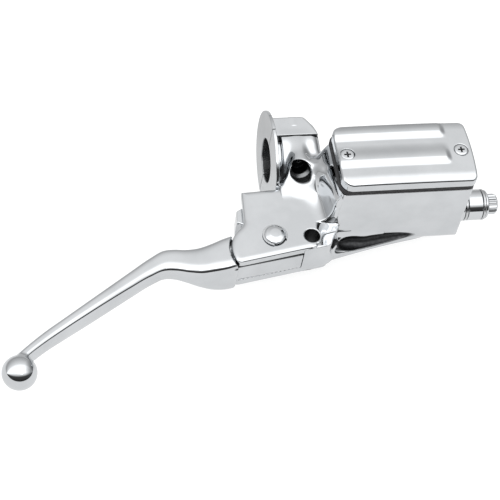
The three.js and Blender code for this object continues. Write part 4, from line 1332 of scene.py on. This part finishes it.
def floor_material():
    """A white floor, evenly white to the camera; to the chrome its glow is painted light, brighter in
    front of the part and a painted shade behind it.
    """
    material, tree, shader = new_material("pale_floor")
    tone = ranged(tree, noise(tree, 3, 3), 0.3, 0.7, 0, 1)
    place = split(tree, node(tree, "ShaderNodeTexCoord").outputs["Object"])
    # Painted light and shade: the glow that the chrome reflects fades from in front of the part to
    # behind it.
    painted_glow = ranged(tree, place["Y"], -0.020, 0.045, 0.64, 0.28)
    feed_all(tree, shader, Base_Color=mixed(tree, tone, (0.30, 0.30, 0.30), (0.33, 0.33, 0.33)),
             Roughness=0.9, Specular_IOR_Level=0.0, Emission_Strength=1.0,
             Emission_Color=for_camera(tree, painted_glow, (0.80, 0.80, 0.80)))
    return material


def build_floor():
    mesh = bpy.data.meshes.new("studio_floor")
    half = FLOOR.half
    corners = [(-half, -half), (half, -half), (half, half), (-half, half)]
    mesh.from_pydata([(x, y, FLOOR.z) for x, y in corners], [], [(0, 1, 2, 3)])
    mesh.materials.append(floor_material())
    linked("studio_floor", mesh)


def build_world():
    """A studio dome, lit overhead and dark in front."""
    world = bpy.data.worlds.new("studio_dome")
    bpy.context.scene.world = world
    world.use_nodes = True
    tree = world.node_tree
    toward = split(tree, node(tree, "ShaderNodeTexCoord").outputs["Generated"])
    over = math_node(tree, "ARCTAN2", toward["Z"], toward["Y"])
    ramp = node(tree, "ShaderNodeValToRGB", Fac=ranged(tree, over, 0, pi, 0, 1))
    elements = ramp.color_ramp.elements
    while len(elements) < len(SKY):
        elements.new(0.5)
    for element, (place, value) in zip(elements, SKY):
        element.position = place
        element.color = (value, value, value, 1)
    end = ranged(tree, toward["X"], 0.55, 0.95, 0, 0.8)
    glow = mixed(tree, end, ramp.outputs["Color"], DOME_END)
    feed_all(tree, tree.nodes["Background"], Color=for_camera(tree, glow, WHITE), Strength=1.0)


def soft_light(name, toward, distance, size, power):
    """A softbox that looks at the part from the direction given."""
    light = bpy.data.lights.new(name, "AREA")
    light.shape = "RECTANGLE"
    light.size, light.size_y = size
    light.energy = power
    lamp = linked(name, light)
    direction = Vector(toward).normalized()
    lamp.location = direction * distance
    lamp.rotation_euler = direction.to_track_quat("Z", "Y").to_euler()


def build_camera():
    azimuth, elevation, roll = CAMERA.azimuth, CAMERA.elevation, CAMERA.roll
    back = Vector((sin(azimuth) * cos(elevation), -cos(azimuth) * cos(elevation), sin(elevation)))
    level = Vector((cos(azimuth), sin(azimuth), 0))
    upright = back.cross(level)
    right = level * cos(roll) + upright * sin(roll)
    up = upright * cos(roll) - level * sin(roll)
    data = bpy.data.cameras.new("camera")
    data.lens = CAMERA.lens
    data.sensor_width = CAMERA.sensor
    data.clip_start = CAMERA.clip_start
    camera = linked("camera", data)
    place = back * CAMERA.distance + right * CAMERA.right + up * CAMERA.up
    camera.matrix_world = Matrix.Translation(place) @ Matrix((right, up, back)).transposed().to_4x4()
    bpy.context.scene.camera = camera


build_floor()
build_world()
soft_light("softbox_front", (-0.15, -0.62, 1.0), 1.6, (1.3, 0.6), 3.5)
build_camera()
bpy.context.scene.view_settings.view_transform = "Standard"
